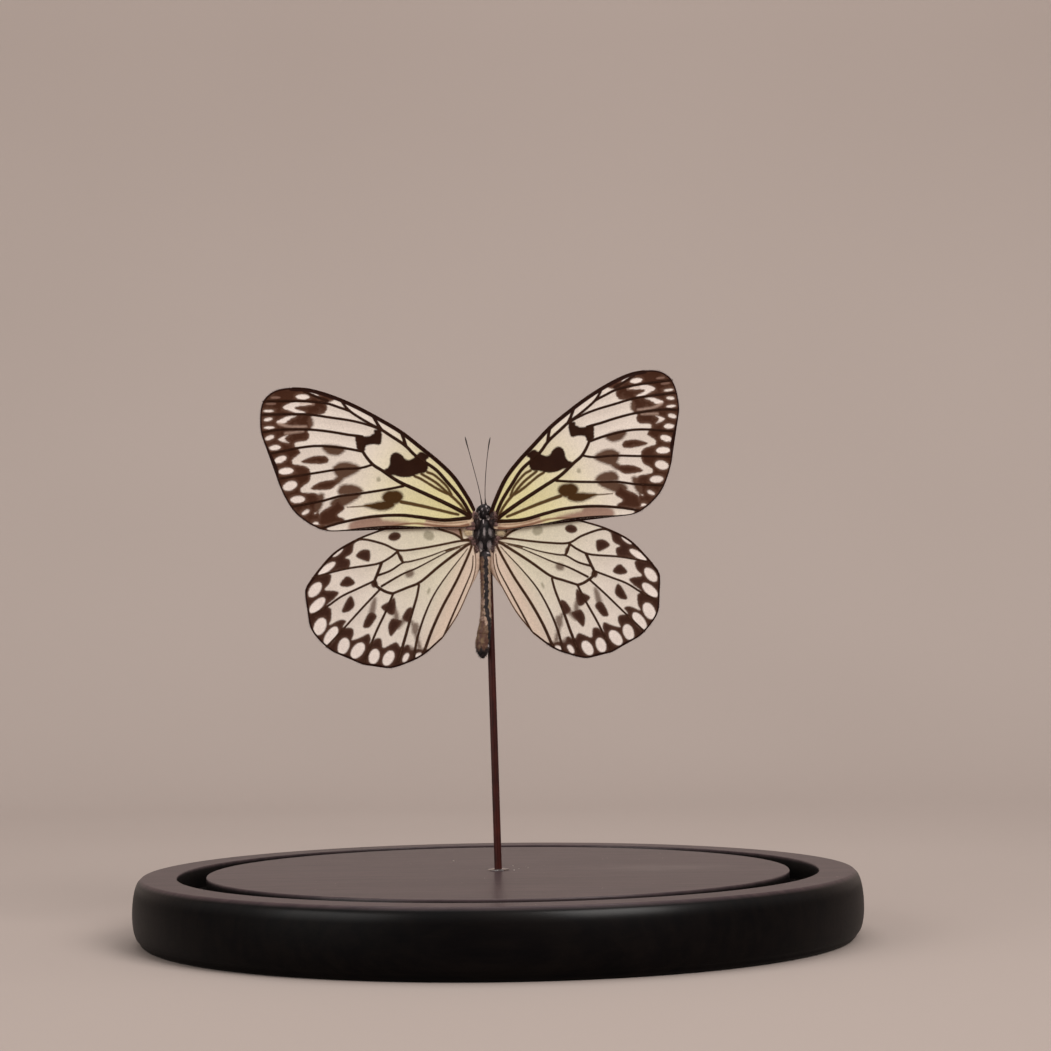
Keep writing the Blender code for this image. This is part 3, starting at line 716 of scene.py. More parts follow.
# Markings laid over the cream in turn: label, feather and fray of the edge, growth, strength, colour
MARKINGS = [("spot", 0.2, 0.1, 0.0, 0.8, (234, 220, 212)), ("pink", 0.9, 0.6, 0.0, 0.9, (146, 110, 96)),
            ("grey", 0.45, 0.25, 0.0, 0.75, (146, 138, 116)), ("blush", 0.5, 0.8, 0.0, 0.85, (206, 177, 154)),
            ("smoke", 0.7, 1.0, 0.22, 1.0, (90, 65, 51)), ("olive", 0.6, 1.0, 0.2, 1.0, (68, 44, 20)),
            ("fold", 0.22, 0.3, 0.06, 0.97, (72, 46, 16)), ("russet", 0.3, 0.3, 0.0, 0.85, (110, 64, 44))]


def wing_material(kind):
    fore, look = kind == "fore", WING_LOOKS[kind]
    material, start, shader = start_material("wing_scales_" + kind)
    plan = stored(start, "plan", 1)
    out, up, face = plan.parts()
    stray = plan.spread(look["stretch"]).noise(2.6, 4.0, roughness=0.7) - 0.5
    broad = plan.noise(0.16, 2.0)
    rows = plan.node("ShaderNodeTexVoronoi", {"feature": "F1"}, {"Vector": plan, "Scale": 7.0})
    tile = Sock(start.tree, rows.link.node.outputs[1])
    tone = tile.node("ShaderNodeSeparateColor", None, {0: tile})

    def mark(label, feather, fray, growth=0.0):
        """1 inside the stored marking, 0 outside it. growth moves its edge outwards."""
        return (stored(start, label) + stray * fray - growth).between(feather, -0.7 * feather)

    from_root = (out * out + up * up).sum("SQRT")
    colour = from_root.between(16, 46).blend(paint(*look["cream"]), paint(222, 209, 198))
    yellow = from_root.between(42, 8) * (0.75 + 0.5 * broad) * look["yellow"]
    colour = yellow.blend(colour, paint(214, 203, 142))
    if not fore:
        colour = (out + 0.42 * up).between(7.0, -1.5).blend(colour, paint(214, 192, 174))
    for label, feather, fray, growth, strength, tint in MARKINGS:
        strength *= look.get(label, 1)      # the hindwing's smoke is thinner
        colour = (mark(label, feather, fray, growth) * strength).blend(colour, paint(*tint))

    ink = paint(*look["ink"])
    if fore:
        near_ink = broad.between(0.3, 0.7).blend(paint(40, 19, 10), paint(48, 26, 15))
        ink = out.between(30, 42).blend(near_ink, ink)
    worn = plan.noise(0.45, 3.0).between(0.5, 0.75) * 0.3 * out.between(38, 44)
    ink = worn.blend(ink, paint(104, 78, 64))
    thin = (stored(start, "ink") + stray * 1.2).between(-1.0, -0.1)
    thin = thin * (out.between(36, 42) * 0.5 if fore else 0.3)
    ink = thin.blend(ink, paint(108, 80, 66))
    colour = mark("ink", 0.34, look["ink_fray"]).blend(colour, ink)
    colour = (mark("haze", 0.5, 0.9) * 0.55).blend(colour, paint(190, 162, 146))
    colour = (mark("faint", 0.25, 0.25) * 0.6).blend(colour, paint(150, 118, 104))
    veins = from_root.between(8, 36).blend(*[paint(*tint) for tint in look["veins"]])
    colour = mark("vein", 0.16, 0.15).blend(colour, veins)
    rim = out.between(16, 6).blend(paint(38, 17, 11), paint(*look["front_rim"]))
    colour = mark("rim", 0.15, 0.1).blend(colour, rim)
    dusted = colour.scaled((0.88 + 0.24 * tone) * (0.95 + 0.1 * plan.noise(0.9, 3.0)))
    underside = (1 - face.between(-0.2, 0.2)) * 0.12
    height = rows * -1 + 0.4 * plan.noise(1.5, 2.0)
    wire(start, shader, Base_Color=underside.blend(dusted, paint(226, 216, 204)),
         Roughness=0.55 + 0.15 * tone, Specular_IOR_Level=0.05, Normal=bump(start, height, 0.02 * MM))
    return material


# %% Make the four blades
for kind in OUTLINES:
    at, triangles, rim = fill_wing(kind)
    shapes = wing_pattern(at, kind)
    shapes["edge"] = loop_distance(at, outline_loop(OUTLINES[kind], 0.8))
    finish = wing_material(kind)
    for side, pose in POSES.items():
        node = f"{kind}wing_{side}"
        blade = make_blade(node + "_blade", kind, pose, at, triangles, rim, shapes, finish)
        hand_over(blade, node)
        low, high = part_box(node)
        print(f"  plain solid spans {[round(v / MM, 1) for v in high - low]} mm")


# %% [markdown]
# ## Trees that grow things
# Hairs, veins and fringes repeat by the thousand, so Geometry Nodes make them. One helper opens a tree with
# named inputs, one closes it with Realize Instances and Set Material, and one runs it on a mesh and keeps
# the result as a plain mesh.

# %% Geometry Nodes helpers
def open_tree(name, inputs):
    """A new tree and its inputs as sockets. inputs is a list of (label, kind of socket, value)."""
    tree = bpy.data.node_groups.new(name, "GeometryNodeTree")
    tree.interface.new_socket("Shape", in_out="INPUT", socket_type="NodeSocketGeometry")
    for label, kind, value in inputs:
        socket = tree.interface.new_socket(label, in_out="INPUT", socket_type="NodeSocket" + kind)
        if value is not None:
            socket.default_value = value
    tree.interface.new_socket("Finish", in_out="INPUT", socket_type="NodeSocketMaterial")
    tree.interface.new_socket("Shape", in_out="OUTPUT", socket_type="NodeSocketGeometry")
    source = tree.nodes.new("NodeGroupInput")
    return tree, {socket.name: Sock(tree, socket) for socket in source.outputs if socket.name}


def close_tree(tree, shape, finish):
    real = shape.node("GeometryNodeRealizeInstances", None, {0: shape})
    done = real.node("GeometryNodeSetMaterial", None, {0: real, 2: finish})
    target = tree.nodes.new("NodeGroupOutput")
    tree.links.new(done.link, target.inputs[0])


def grow(name, mesh, tree, finish, **values):
    """Run a tree on a mesh. Input names are given with _ for each space."""
    piece = add_object(name, mesh)
    modifier = piece.modifiers.new("Grow", "NODES")
    modifier.node_group = tree
    values["Finish"] = finish
    for item in tree.interface.items_tree:
        label = item.name.replace(" ", "_")
        if item.in_out == "INPUT" and label in values:
            modifier[item.identifier] = values[label]
    plain_mesh(piece)
    piece.data.shade_smooth()
    return piece


def attribute(start, name, kind="FLOAT"):
    return start.node("GeometryNodeInputNamedAttribute", {"data_type": kind}, {0: name})


# %% [markdown]
# ## Round strands with a changing thickness
# Veins, feelers, legs and the tongue are all strands. A curve object with a bevel would do for one of them,
# but a tree that sweeps a circle along an edge path, scaled by a number stored on each point, makes them all.

# %% Strand tree
def strand_tree():
    tree, given = open_tree("strands", [("Sides", "Int", 8)])
    start = given["Shape"]
    path = start.node("GeometryNodeMeshToCurve", None, {0: start})
    ring = start.node("GeometryNodeCurvePrimitiveCircle", None, {"Resolution": given["Sides"], "Radius": 1.0})
    swept = start.node("GeometryNodeCurveToMesh", None,
                       {0: path, 1: ring, "Scale": attribute(start, "half"), "Fill Caps": True})
    close_tree(tree, swept, given["Finish"])
    return tree


STRANDS = strand_tree()
print("tree", STRANDS.name, "has", len(STRANDS.nodes), "nodes")


def paths_mesh(name, paths, extra=()):
    """A mesh of edge paths from (points, half thicknesses) pairs in metres. Each point keeps its half."""
    points, halves, edges, count = [], [], [], 0
    for line, half in paths:
        points.append(line)
        halves.append(half)
        edges += [(count + i, count + i + 1) for i in range(len(line) - 1)]
        count += len(line)
    mesh = bpy.data.meshes.new(name)
    mesh.from_pydata(np.vstack(points).tolist(), edges, [])
    store(mesh, "half", np.concatenate(halves))
    for label, values, kind in extra:
        store(mesh, label, values, kind)
    return mesh


# %% [markdown]
# ## Raised veins
# A vein is a hollow rib, thick at the root and thin at the edge, and the front edge of each wing is one too.
# The strands follow the same lists as the dark lines, half sunk in the blade.

# %% Vein strands over the four wings
VEIN_TONES = {"fore": ((36, 17, 8), (58, 34, 21)), "hind": ((50, 29, 18), (80, 55, 40))}
VEIN_FINISH = {kind: mottled("vein_rib_" + kind, *tones, (1.4, 4.0), (0.35, 0.75), (6.0,), 0.03,
                             Roughness=0.6, Specular_IOR_Level=0.06) for kind, tones in VEIN_TONES.items()}
EDGE_RIBS = {"fore": (1.1, 0.6), "hind": (0.6, 0.4)}    # widths of the rib in the front edge, root and tip
VEIN_STEP = 0.7
SLIM_RUN = 2.5                      # a rib starts slim and is full after this many millimetres


def rib_half(width):
    return 0.08 + 0.18 * width


for kind, widths in EDGE_RIBS.items():
    lines = list(VEINS[kind].values()) + [(OUTLINES[kind]["front"], *widths)]
    for side, pose in POSES.items():
        paths = []
        for points, start_width, end_width in lines:
            line = smooth_points(points, VEIN_STEP)
            share = np.linspace(0, 1, len(line))
            half = rib_half(start_width + (end_width - start_width) * share)
            half *= np.clip(0.35 + 0.65 * np.arange(len(line)) * VEIN_STEP / SLIM_RUN, 0, 1)
            half[-1] *= 0.6
            place = on_wing(line[:, 0], line[:, 1], wave(line[:, 0], line[:, 1]), pose, kind)
            paths.append((place, half * MM))
        node = f"{kind}wing_{side}"
        ribs = grow(node + "_veins", paths_mesh(node + "_veins", paths), STRANDS, VEIN_FINISH[kind],
                    Sides=8)
        hand_over(ribs, node)


# %% [markdown]
# ## Hair and fringe
# Hair could be a particle system, but an export drops those. This tree scatters points on a surface, stands a
# slim three-sided spike on each, leans it along a stored combing direction, and makes the copies real.

# %% Hair tree and fringe tree
def spike(start, curl):
    """A slim closed spike one unit tall that leans over as it rises."""
    cone = start.node("GeometryNodeMeshCone", {"fill_type": "NGON"},
                      {"Vertices": 3, "Side Segments": 3, "Radius Top": 0.12, "Radius Bottom": 1.0,
                       "Depth": 1.0})
    rise = start.node("GeometryNodeInputPosition").parts()[2]
    over = start.node("ShaderNodeCombineXYZ", None, {0: rise * rise * curl})
    return start.node("GeometryNodeSetPosition", None, {0: cone, "Offset": over})


def random_number(start, low, high, seed):
    return start.node("FunctionNodeRandomValue", {"data_type": "FLOAT"}, {2: low, 3: high, 8: seed},
                      out=1)


def plant(start, points, direction, given, seed):
    """Stand a spike on each point along a direction, with a random length and a random turn."""
    mess = start.node("FunctionNodeRandomValue", {"data_type": "FLOAT_VECTOR"},
                      {0: (-1, -1, -1), 1: (1, 1, 1), 8: seed + 1})
    lean = start.node("ShaderNodeVectorMath", {"operation": "ADD"},
                      {0: direction, 1: mess.scaled(given["Mess"])})
    turn = start.node("ShaderNodeCombineXYZ", None, {2: random_number(start, 0.0, 6.283, seed + 2)})
    spun = start.node("FunctionNodeEulerToRotation", None, {0: turn})
    aim = start.node("FunctionNodeAlignRotationToVector", {"axis": "Z"}, {"Rotation": spun, "Vector": lean})
    tall = given["Length"] * random_number(start, 0.55, 1.2, seed + 3)
    size = start.node("ShaderNodeCombineXYZ", None, {0: given["Thickness"], 1: given["Thickness"], 2: tall})
    return start.node("GeometryNodeInstanceOnPoints", None,
                      {"Points": points, "Instance": spike(start, given["Curl"]), "Rotation": aim,
                       "Scale": size})


HAIR_INPUTS = [("Length", "Float", 0.001), ("Thickness", "Float", 0.00002), ("Mess", "Float", 0.3),
               ("Curl", "Float", 6.0)]


def hair_tree():
    tree, given = open_tree("hair", [("Density", "Float", 1e7), ("Lie", "Float", 0.6), ("Seed", "Int", 1)]
                            + HAIR_INPUTS)
    start = given["Shape"]
    dense = given["Density"] * attribute(start, "cover")
    points = start.node("GeometryNodeDistributePointsOnFaces", None,
                        {0: start, "Density": dense, "Seed": given["Seed"]})
    normal = Sock(start.tree, points.link.node.outputs[1])
    direction = start.node("ShaderNodeMix", {"data_type": "VECTOR"},
                           {0: given["Lie"], 4: normal, 5: attribute(start, "comb", "FLOAT_VECTOR")}, out=1)
    close_tree(tree, plant(start, points, direction, given, given["Seed"]), given["Finish"])
    return tree


def fringe_tree():
    tree, given = open_tree("fringe", [("Spacing", "Float", 0.0001), ("Seed", "Int", 1)] + HAIR_INPUTS)
    start = given["Shape"]
    path = start.node("GeometryNodeMeshToCurve", None, {0: start})
    even = start.node("GeometryNodeResampleCurve", {"mode": "LENGTH"}, {0: path, "Length": given["Spacing"]})
    points = start.node("GeometryNodeCurveToPoints", {"mode": "EVALUATED"}, {0: even})
    direction = attribute(start, "comb", "FLOAT_VECTOR")
    close_tree(tree, plant(start, points, direction, given, given["Seed"]), given["Finish"])
    return tree


HAIR, FRINGE = hair_tree(), fringe_tree()
print("trees", HAIR.name, "and", FRINGE.name, "are ready")

# %% [markdown]
# ## The fringe of the wings
# The outer and hind edges carry a short fringe of hair-like scales. It is dark beside dark scales and pale
# beside the white spots, so each fringe point reads the same distances as the blade.

# %% Fringe finish and the four fringes
def fringe_material():
    material, start, shader = start_material("fringe_scales")
    colour = stored(start, "dark").between(0.2, 0.8).blend(paint(196, 180, 166), paint(50, 32, 26))
    colour = colour.scaled(0.85 + 0.3 * object_place(start).noise(3.0))
    wire(start, shader, Base_Color=colour, Roughness=0.7, Specular_IOR_Level=0.2)
    return material


FRINGE_FINISH = fringe_material()
READ_INSIDE = 1.0                   # how far inside the edge a fringe point reads its marking
DARK_FROM = {"fore": 42, "hind": 12}    # nearer the body than this the fringe is pale all along
for kind, outline in OUTLINES.items():
    run = smooth_points(outline["hind"][1:] + outline["outer"][1:], 0.5)
    along = np.gradient(run, axis=0)
    away = np.stack([along[:, 1], -along[:, 0]], axis=1) / np.linalg.norm(along, axis=1)[:, None]
    inner = wing_pattern(run - READ_INSIDE * away, kind)
    dark = np.clip(0.5 - 0.5 * np.minimum(inner["ink"], inner["vein"]) / 0.3, 0, 1)
    dark = np.where(run[:, 0] < DARK_FROM[kind], 0.3, 0.35 + 0.65 * dark)
    for side, pose in POSES.items():
        seat = run - 0.12 * away
        lift = wave(run[:, 0], run[:, 1]) - 0.25 * PLEAT
        place = on_wing(seat[:, 0], seat[:, 1], lift, pose, kind)
        tip = on_wing((seat + away)[:, 0], (seat + away)[:, 1], lift, pose, kind)
        comb = (tip - place) / MM
        node = f"{kind}wing_{side}"
        lines = paths_mesh(node + "_fringe", [(place, np.full(len(place), MM))],
                           [("comb", comb, "FLOAT_VECTOR"), ("dark", dark, "FLOAT")])
        fringe = grow(node + "_fringe", lines, FRINGE, FRINGE_FINISH, Spacing=0.11 * MM, Length=0.5 * MM,
                      Thickness=0.03 * MM, Mess=0.25, Curl=1.5, Seed=11)
        hand_over(fringe, node)


# %% [markdown]
# ## The body's forms
# Head, thorax and abdomen are lofts: rings of points whose middle and half sizes follow a short list of
# sections. A plain loft would look like a bead, so the abdomen steps in a little at each of its rings and
# has sunk and wrinkled as it dried. Three masks per point say where scales are black, brown or pale.

# %% Sections and tufts
# Each section is (up, across, depth, half width, half depth) in millimetres
THORAX = [(-6.6, 0.1, -0.1, 0.3, 0.3), (-6.3, 0.1, -0.1, 1.1, 1.1), (-5.4, 0.1, -0.1, 1.7, 1.75),
          (-4.0, 0.05, 0.0, 2.1, 2.3), (-2.0, 0.0, 0.0, 2.2, 2.6), (0.0, 0.0, -0.1, 1.95, 2.3),
          (1.2, 0.0, -0.2, 1.2, 1.4), (1.6, 0.0, -0.2, 0.5, 0.6)]
HEAD = [(1.7, 0.0, 0.0, 0.4, 0.5), (2.1, 0.0, 0.0, 1.1, 1.1), (2.9, 0.0, 0.0, 1.85, 1.45),
        (3.8, 0.0, 0.0, 2.05, 1.6), (4.8, 0.0, -0.1, 1.75, 1.4), (5.5, 0.0, -0.1, 1.0, 0.9),
        (5.8, 0.0, -0.1, 0.3, 0.3)]
ABDOMEN = [(-36.75, -0.85, -0.5, 0.25, 0.25), (-36.2, -0.9, -0.5, 0.95, 0.9),
           (-35.2, -0.9, -0.5, 1.45, 1.35), (-33.3, -0.9, -0.45, 1.9, 1.7), (-30.0, -0.5, -0.4, 1.85, 1.7),
           (-26.0, 0.0, -0.35, 1.5, 1.55), (-20.0, 0.15, -0.35, 1.3, 1.4), (-12.0, 0.1, -0.3, 1.4, 1.45),
           (-8.5, 0.2, -0.25, 1.6, 1.5), (-7.2, 0.2, -0.2, 1.0, 1.0), (-6.85, 0.2, -0.2, 0.35, 0.35)]
ABDOMEN_RINGS = [-8.9, -12.4, -16.0, -19.6, -23.2, -26.8, -30.0, -32.8, -34.9]
# Tufts of pale hair and scales: (across, up), (half width, half height), strength, on the back unless said
BACK_TUFTS = [((0.6, 5.1), (0.24, 0.22), 1.0), ((-0.5, 4.4), (0.24, 0.28), 1.0),
              ((0.9, 4.0), (0.2, 0.32), 0.9), ((-1.35, 3.5), (0.22, 0.35), 1.0),
              ((0.9, 2.4), (0.5, 0.24), 1.2), ((-1.4, 2.6), (0.3, 0.24), 1.0),
              ((1.3, 4.4), (0.18, 0.22), 0.8), ((-0.3, 3.3), (0.16, 0.22), 0.7),
              ((-0.25, 0.9), (0.15, 0.9), 0.8), ((0.0, -1.9), (0.4, 1.4), 0.75),
              ((1.5, -1.9), (0.5, 1.3), 0.7), ((-1.7, -2.2), (0.5, 1.3), 0.7),
              ((-1.25, -5.6), (0.8, 1.1), 1.5), ((1.45, -5.5), (0.8, 1.1), 1.35),
              ((1.0, -7.8), (0.5, 0.3), 0.6), ((0.7, -33.4), (0.22, 0.45), 0.7),
              ((0.5, -35.6), (0.2, 0.3), 0.7)]
FRONT_TUFTS = [((0.0, 4.9), (0.35, 0.4), 1.0), ((1.1, 2.6), (0.4, 0.6), 1.0), ((-1.1, 2.6), (0.4, 0.6), 1.0),
               ((0.9, -0.6), (0.35, 1.0), 1.0), ((-0.9, -0.6), (0.35, 1.0), 1.0),
               ((1.3, -3.2), (0.35, 0.9), 1.0), ((-1.3, -3.2), (0.35, 0.9), 1.0)]
for node, sections in {"thorax": THORAX, "head": HEAD, "abdomen": ABDOMEN}.items():
    print(node, "is", round(np.ptp([section[0] for section in sections]), 1), "mm long")


# %% Closed shapes of rings
def ring_faces(rings, around):
    """Faces over rings of points, the lowest first, closed by a low and a high pole that come last."""
    faces = []
    for i in range(rings - 1):
        for j in range(around):
            k = (j + 1) % around
            faces.append((i * around + j, i * around + k, (i + 1) * around + k, (i + 1) * around + j))
    low_pole, high_pole = rings * around, rings * around + 1
    for j in range(around):
        k = (j + 1) % around
        faces.append((low_pole, k, j))
        faces.append((high_pole, (rings - 1) * around + j, (rings - 1) * around + k))
    return faces


def ovals_mesh(name, places, rings, around):
    """One mesh of closed egg shapes, from pairs of centre and half sizes. Also how many points each has."""
    turn = np.linspace(0, 2 * math.pi, around, endpoint=False)
    tilt = np.linspace(-math.pi / 2, math.pi / 2, rings + 2)[1:-1, None]
    ball = np.stack([np.cos(tilt) * np.cos(turn), np.cos(tilt) * np.sin(turn), np.sin(tilt) + 0 * turn],
                    axis=-1).reshape(-1, 3)
    ball = np.vstack([ball, [(0, 0, -1), (0, 0, 1)]])
    points = np.vstack([np.array(centre) + ball * np.array(half) for centre, half in places])
    faces = [[i * len(ball) + corner for corner in face]
             for i in range(len(places)) for face in ring_faces(rings, around)]
    mesh = bpy.data.meshes.new(name)
    mesh.from_pydata(points.tolist(), [], faces)
    return mesh, len(ball)


def loft(name, sections, rings, around, wrinkle=0.0, steps=()):
    """A closed loft through the sections. Returns its mesh and its points as (across, depth, up)."""
    stations = smooth_points(sections, 0.15)
    stations[:, 3:] = np.maximum(stations[:, 3:], 0.05)
    run = np.linspace(0, 1, len(stations))
    ease = 0.5 - 0.5 * np.cos(np.linspace(0, math.pi, rings))
    rows = np.stack([np.interp(0.5 * ease + 0.5 * np.linspace(0, 1, rings), run, stations[:, i])
                     for i in range(5)], axis=1)
    angles = np.linspace(0, 2 * math.pi, around, endpoint=False)
    shapes = []
    for up, across, depth, half_w, half_d in rows:
        reach = np.ones(around)
        for low, high in zip(steps[1:], steps):
            if low <= up < high:
                reach *= 0.955 + 0.075 * ((high - up) / (high - low)) ** 0.6
        reach *= 1 - wrinkle * (0.5 + 0.5 * np.sin(5 * angles + 1.3 * up)) * abs(math.sin(1.7 * up))
        shapes.append(np.stack([across + half_w * reach * np.cos(angles),
                                depth + half_d * reach * np.sin(angles), np.full(around, up)], axis=1))
    points = np.vstack(shapes + [[[rows[0][1], rows[0][2], rows[0][0] - 0.05]],
                                 [[rows[-1][1], rows[-1][2], rows[-1][0] + 0.05]]])
    mesh = bpy.data.meshes.new(name)
    mesh.from_pydata((points * MM + np.array(INSECT)).tolist(), [], ring_faces(rings, around))
    return mesh, points


# %% Masks of the body
def soft_step(values, low, high):
    share = np.clip((values - low) / (high - low), 0, 1)
    return share * share * (3 - 2 * share)


def mark_body(mesh, points, part):
    """Store the black, brown and pale masks, the hair cover and the combing direction."""
    across, depth, up = points.T
    count = len(points)
    pale = np.zeros(count)
    for tufts, facing in ((BACK_TUFTS, -1), (FRONT_TUFTS, 1)):
        for (x, z), (half_x, half_z), strength in tufts:
            reach = np.hypot((across - x) / half_x, (up - z) / half_z)
            spot = strength * (1 - soft_step(reach, 0.6, 1.25)) * soft_step(facing * depth, -0.1, 0.5)
            pale = np.maximum(pale, spot)
    if part == "abdomen":
        shift = 0.9 * soft_step(-up, 23, 28) + 0.12 * np.sin(2.3 * up) + 0.09 * np.sin(5.1 * up + 1)
        back = soft_step(-depth, -0.25, 0.45)
        beside = across - shift
        stripe = soft_step(beside, -0.45, 0.0) * (1 - soft_step(beside, 0.75, 1.1))
        tip = soft_step(-up + 0.5 * np.sin(4 * across), 32.6, 35.4)
        collar = soft_step(up, -9.4, -8.2)
        dark = np.maximum.reduce([stripe * back, 0.85 * tip, collar])
        side = (1 - soft_step(across, -0.5, 0.1)) * back
        brown = side * (0.55 + 0.45 * (1 - soft_step(-up, 17, 20))) + 0.8 * soft_step(-up, 26, 29)
        cover = np.full(count, 0.8)
    else:
        dark, brown, cover = np.ones(count), np.zeros(count), np.full(count, 1.0)
    for label, values in {"dark": dark, "brown": np.clip(brown, 0, 1), "pale": pale, "cover": cover}.items():
        store(mesh, label, values)
    outwards = 0.25 * np.sign(across) * np.minimum(abs(across), 1)
    comb = np.stack([outwards, 0.15 * np.sign(depth), np.full(count, -1.0)], axis=1)
    store(mesh, "comb", comb, "FLOAT_VECTOR")


# %% [markdown]
# ## Body finish
# The skin and the hair that grows on it share one recipe: cream underneath, then brown, then black, then the
# pale tufts, each where its mask says. Noise breaks the borders up, as stray scales do.

# %% Body finish
def body_material(name, gloss):
    material, start, shader = start_material(name)
    place = object_place(start)
    grain = place.noise(1.5, 5.0, roughness=0.72) - 0.5

    def mask(label, fray):
        return (stored(start, label) + grain * fray).between(0.3, 0.7)

    mottle = place.noise(0.9, 3.0)
    cream = mottle.between(0.35, 0.7).blend(paint(196, 168, 150), paint(150, 126, 98))
    brown = mottle.between(0.4, 0.65).blend(paint(94, 62, 50), paint(128, 102, 78))
    colour = mask("brown", 1.1).blend(cream, brown)
    colour = ((grain * 3).between(0.15, 0.6) * 0.75).blend(colour, paint(52, 32, 29))
    black = place.noise(1.6, 2.0).between(0.35, 0.75).blend(paint(18, 13, 14), paint(56, 44, 46))
    colour = mask("dark", 1.0).blend(colour, black)
    colour = (mask("pale", 1.3) * 0.85).blend(colour, paint(200, 188, 188))
    wire(start, shader, Base_Color=colour, Roughness=gloss, Specular_IOR_Level=0.35,
         Normal=bump(start, place.noise(5.0, 3.0), 0.05 * MM))
    return material


# %% Head, thorax and abdomen with their hair
SKIN, HAIRS = body_material("body_skin", 0.5), body_material("body_hairs", 0.6)
BODY_PARTS = {                      # sections, rings, points round, slot, hairs per square millimetre, length
    "thorax": (THORAX, 60, 64, "body_hair", 42, 1.15),
    "head": (HEAD, 48, 56, "body_hair", 50, 0.7),
    "abdomen": (ABDOMEN, 190, 60, "abdomen_hair", 26, 0.55),
}
for node, (sections, rings, around, slot, dense, length) in BODY_PARTS.items():
    steps = ABDOMEN_RINGS if node == "abdomen" else ()
    mesh, points = loft(node + "_skin", sections, rings, around, 0.05 if node == "abdomen" else 0.0, steps)
    mark_body(mesh, points, node)
    hairs = grow(node + "_hairs", mesh.copy(), HAIR, HAIRS, Density=dense * 1e6, Lie=0.72, Seed=5,
                 Length=length * MM, Thickness=0.022 * MM, Mess=0.3, Curl=6.0)
    skin = add_object(node + "_skin", mesh, SKIN)
    hand_over(skin, node)
    hand_over(hairs, node)


# %% [markdown]
# ## Wing roots and the folds beside the abdomen
# Between the thorax and the blades sit small horny plates and pads, with hair combed out along the wing.
# Each is a rounded pad with its own tone from nearly black to cream, set at the depth of its wing. The
# hindwing's inner edge bends down and back beside the abdomen as a thin pinkish fold.

# %% Root pads
# Each is wing, across, up, lift, half sizes across, deep and up, tone
ROOT_PADS = [("fore", 2.75, 2.6, -0.3, (0.6, 0.6, 1.4), 0.46),
             ("fore", 2.1, 0.6, -0.9, (0.9, 1.4, 1.8), 0.16),
             ("fore", 2.1, 2.2, 0.1, (0.6, 0.5, 1.15), 0.24),
             ("fore", 3.0, 0.1, -0.2, (0.75, 0.5, 0.65), 0.42),
             ("fore", 3.9, -0.9, -0.6, (1.3, 0.35, 0.7), 0.5),
             ("hind", 2.2, -3.2, -0.6, (1.0, 1.2, 2.8), 0.12),
             ("hind", 4.4, -2.1, 0.2, (1.2, 0.4, 0.95), 1.0),
             ("hind", 2.9, -4.6, 0.0, (0.75, 0.5, 1.0), 0.36),
             ("hind", 3.7, -3.7, 0.2, (0.6, 0.35, 0.4), 0.5),
             ("hind", 2.2, -6.6, -0.4, (0.6, 0.7, 1.2), 0.3)]
LUMP_SIZE, LUMP_DEPTH = 0.8 * MM, 0.3 * MM


def root_material():
    material, start, shader = start_material("root_scales")
    place = object_place(start)
    tone = stored(start, "tone") + 1.1 * (place.noise(1.8, 5.0, roughness=0.75) - 0.5)
    colour = tone.between(0.15, 0.6).blend(paint(34, 20, 20), paint(158, 122, 116))
    colour = tone.between(0.65, 1.0).blend(colour, paint(218, 198, 164))
    wire(start, shader, Base_Color=colour, Roughness=0.6, Specular_IOR_Level=0.3)
    return material


def make_roots():
    bm = bmesh.new()
    tones = []
    for pose in POSES.values():
        for kind, across, up, lift, half, tone in ROOT_PADS:
            deep = on_wing(np.array([across]), np.array([up]), lift, pose, kind)[0, 1]
            place = Matrix.Translation((INSECT.x + pose["side"] * across * MM, deep, INSECT.z + up * MM))
            pad = bmesh.ops.create_uvsphere(bm, u_segments=24, v_segments=16, radius=MM,
                                            matrix=place @ Matrix.Diagonal((*half, 1)))
            tones += [tone] * len(pad["verts"])
    mesh = from_bmesh("wing_roots", bm)
    for vert, push in [(vert, noise.noise(vert.co / LUMP_SIZE)) for vert in mesh.vertices]:
        vert.co += vert.normal * push * LUMP_DEPTH
    across = np.array([vert.co.x - INSECT.x for vert in mesh.vertices])
    comb = np.stack([np.sign(across), 0 * across - 0.1, 0 * across - 0.25], axis=1)
    store(mesh, "tone", tones)
    store(mesh, "cover", np.ones(len(tones)))
    store(mesh, "comb", comb, "FLOAT_VECTOR")
    finish = root_material()
    hairs = grow("wing_root_hairs", mesh.copy(), HAIR, finish, Density=34e6, Lie=0.7, Seed=3,
                 Length=0.75 * MM, Thickness=0.024 * MM, Mess=0.35, Curl=5.0)
    hand_over(add_object("wing_roots", mesh, finish), "thorax")
    hand_over(hairs, "thorax")


# %% Folds
FOLD_UP = [-18.5, -16.0, -14.0, -12.0, -9.0, -6.2, -4.5]
FOLD_REACH = [0.02, 0.5, 1.0, 1.5, 1.95, 1.9, 1.4]      # how far the fold goes in at those heights
FOLD_BEND = math.radians(75)
FOLD_HALF = 0.04                    # half its thickness
FOLD_FINISH = mottled("fold_scales", (214, 190, 172), (196, 168, 148), (1.3, 4.0), (0.3, 0.7), (7.0,), 0.02,
                      Roughness=0.6, Specular_IOR_Level=0.15)


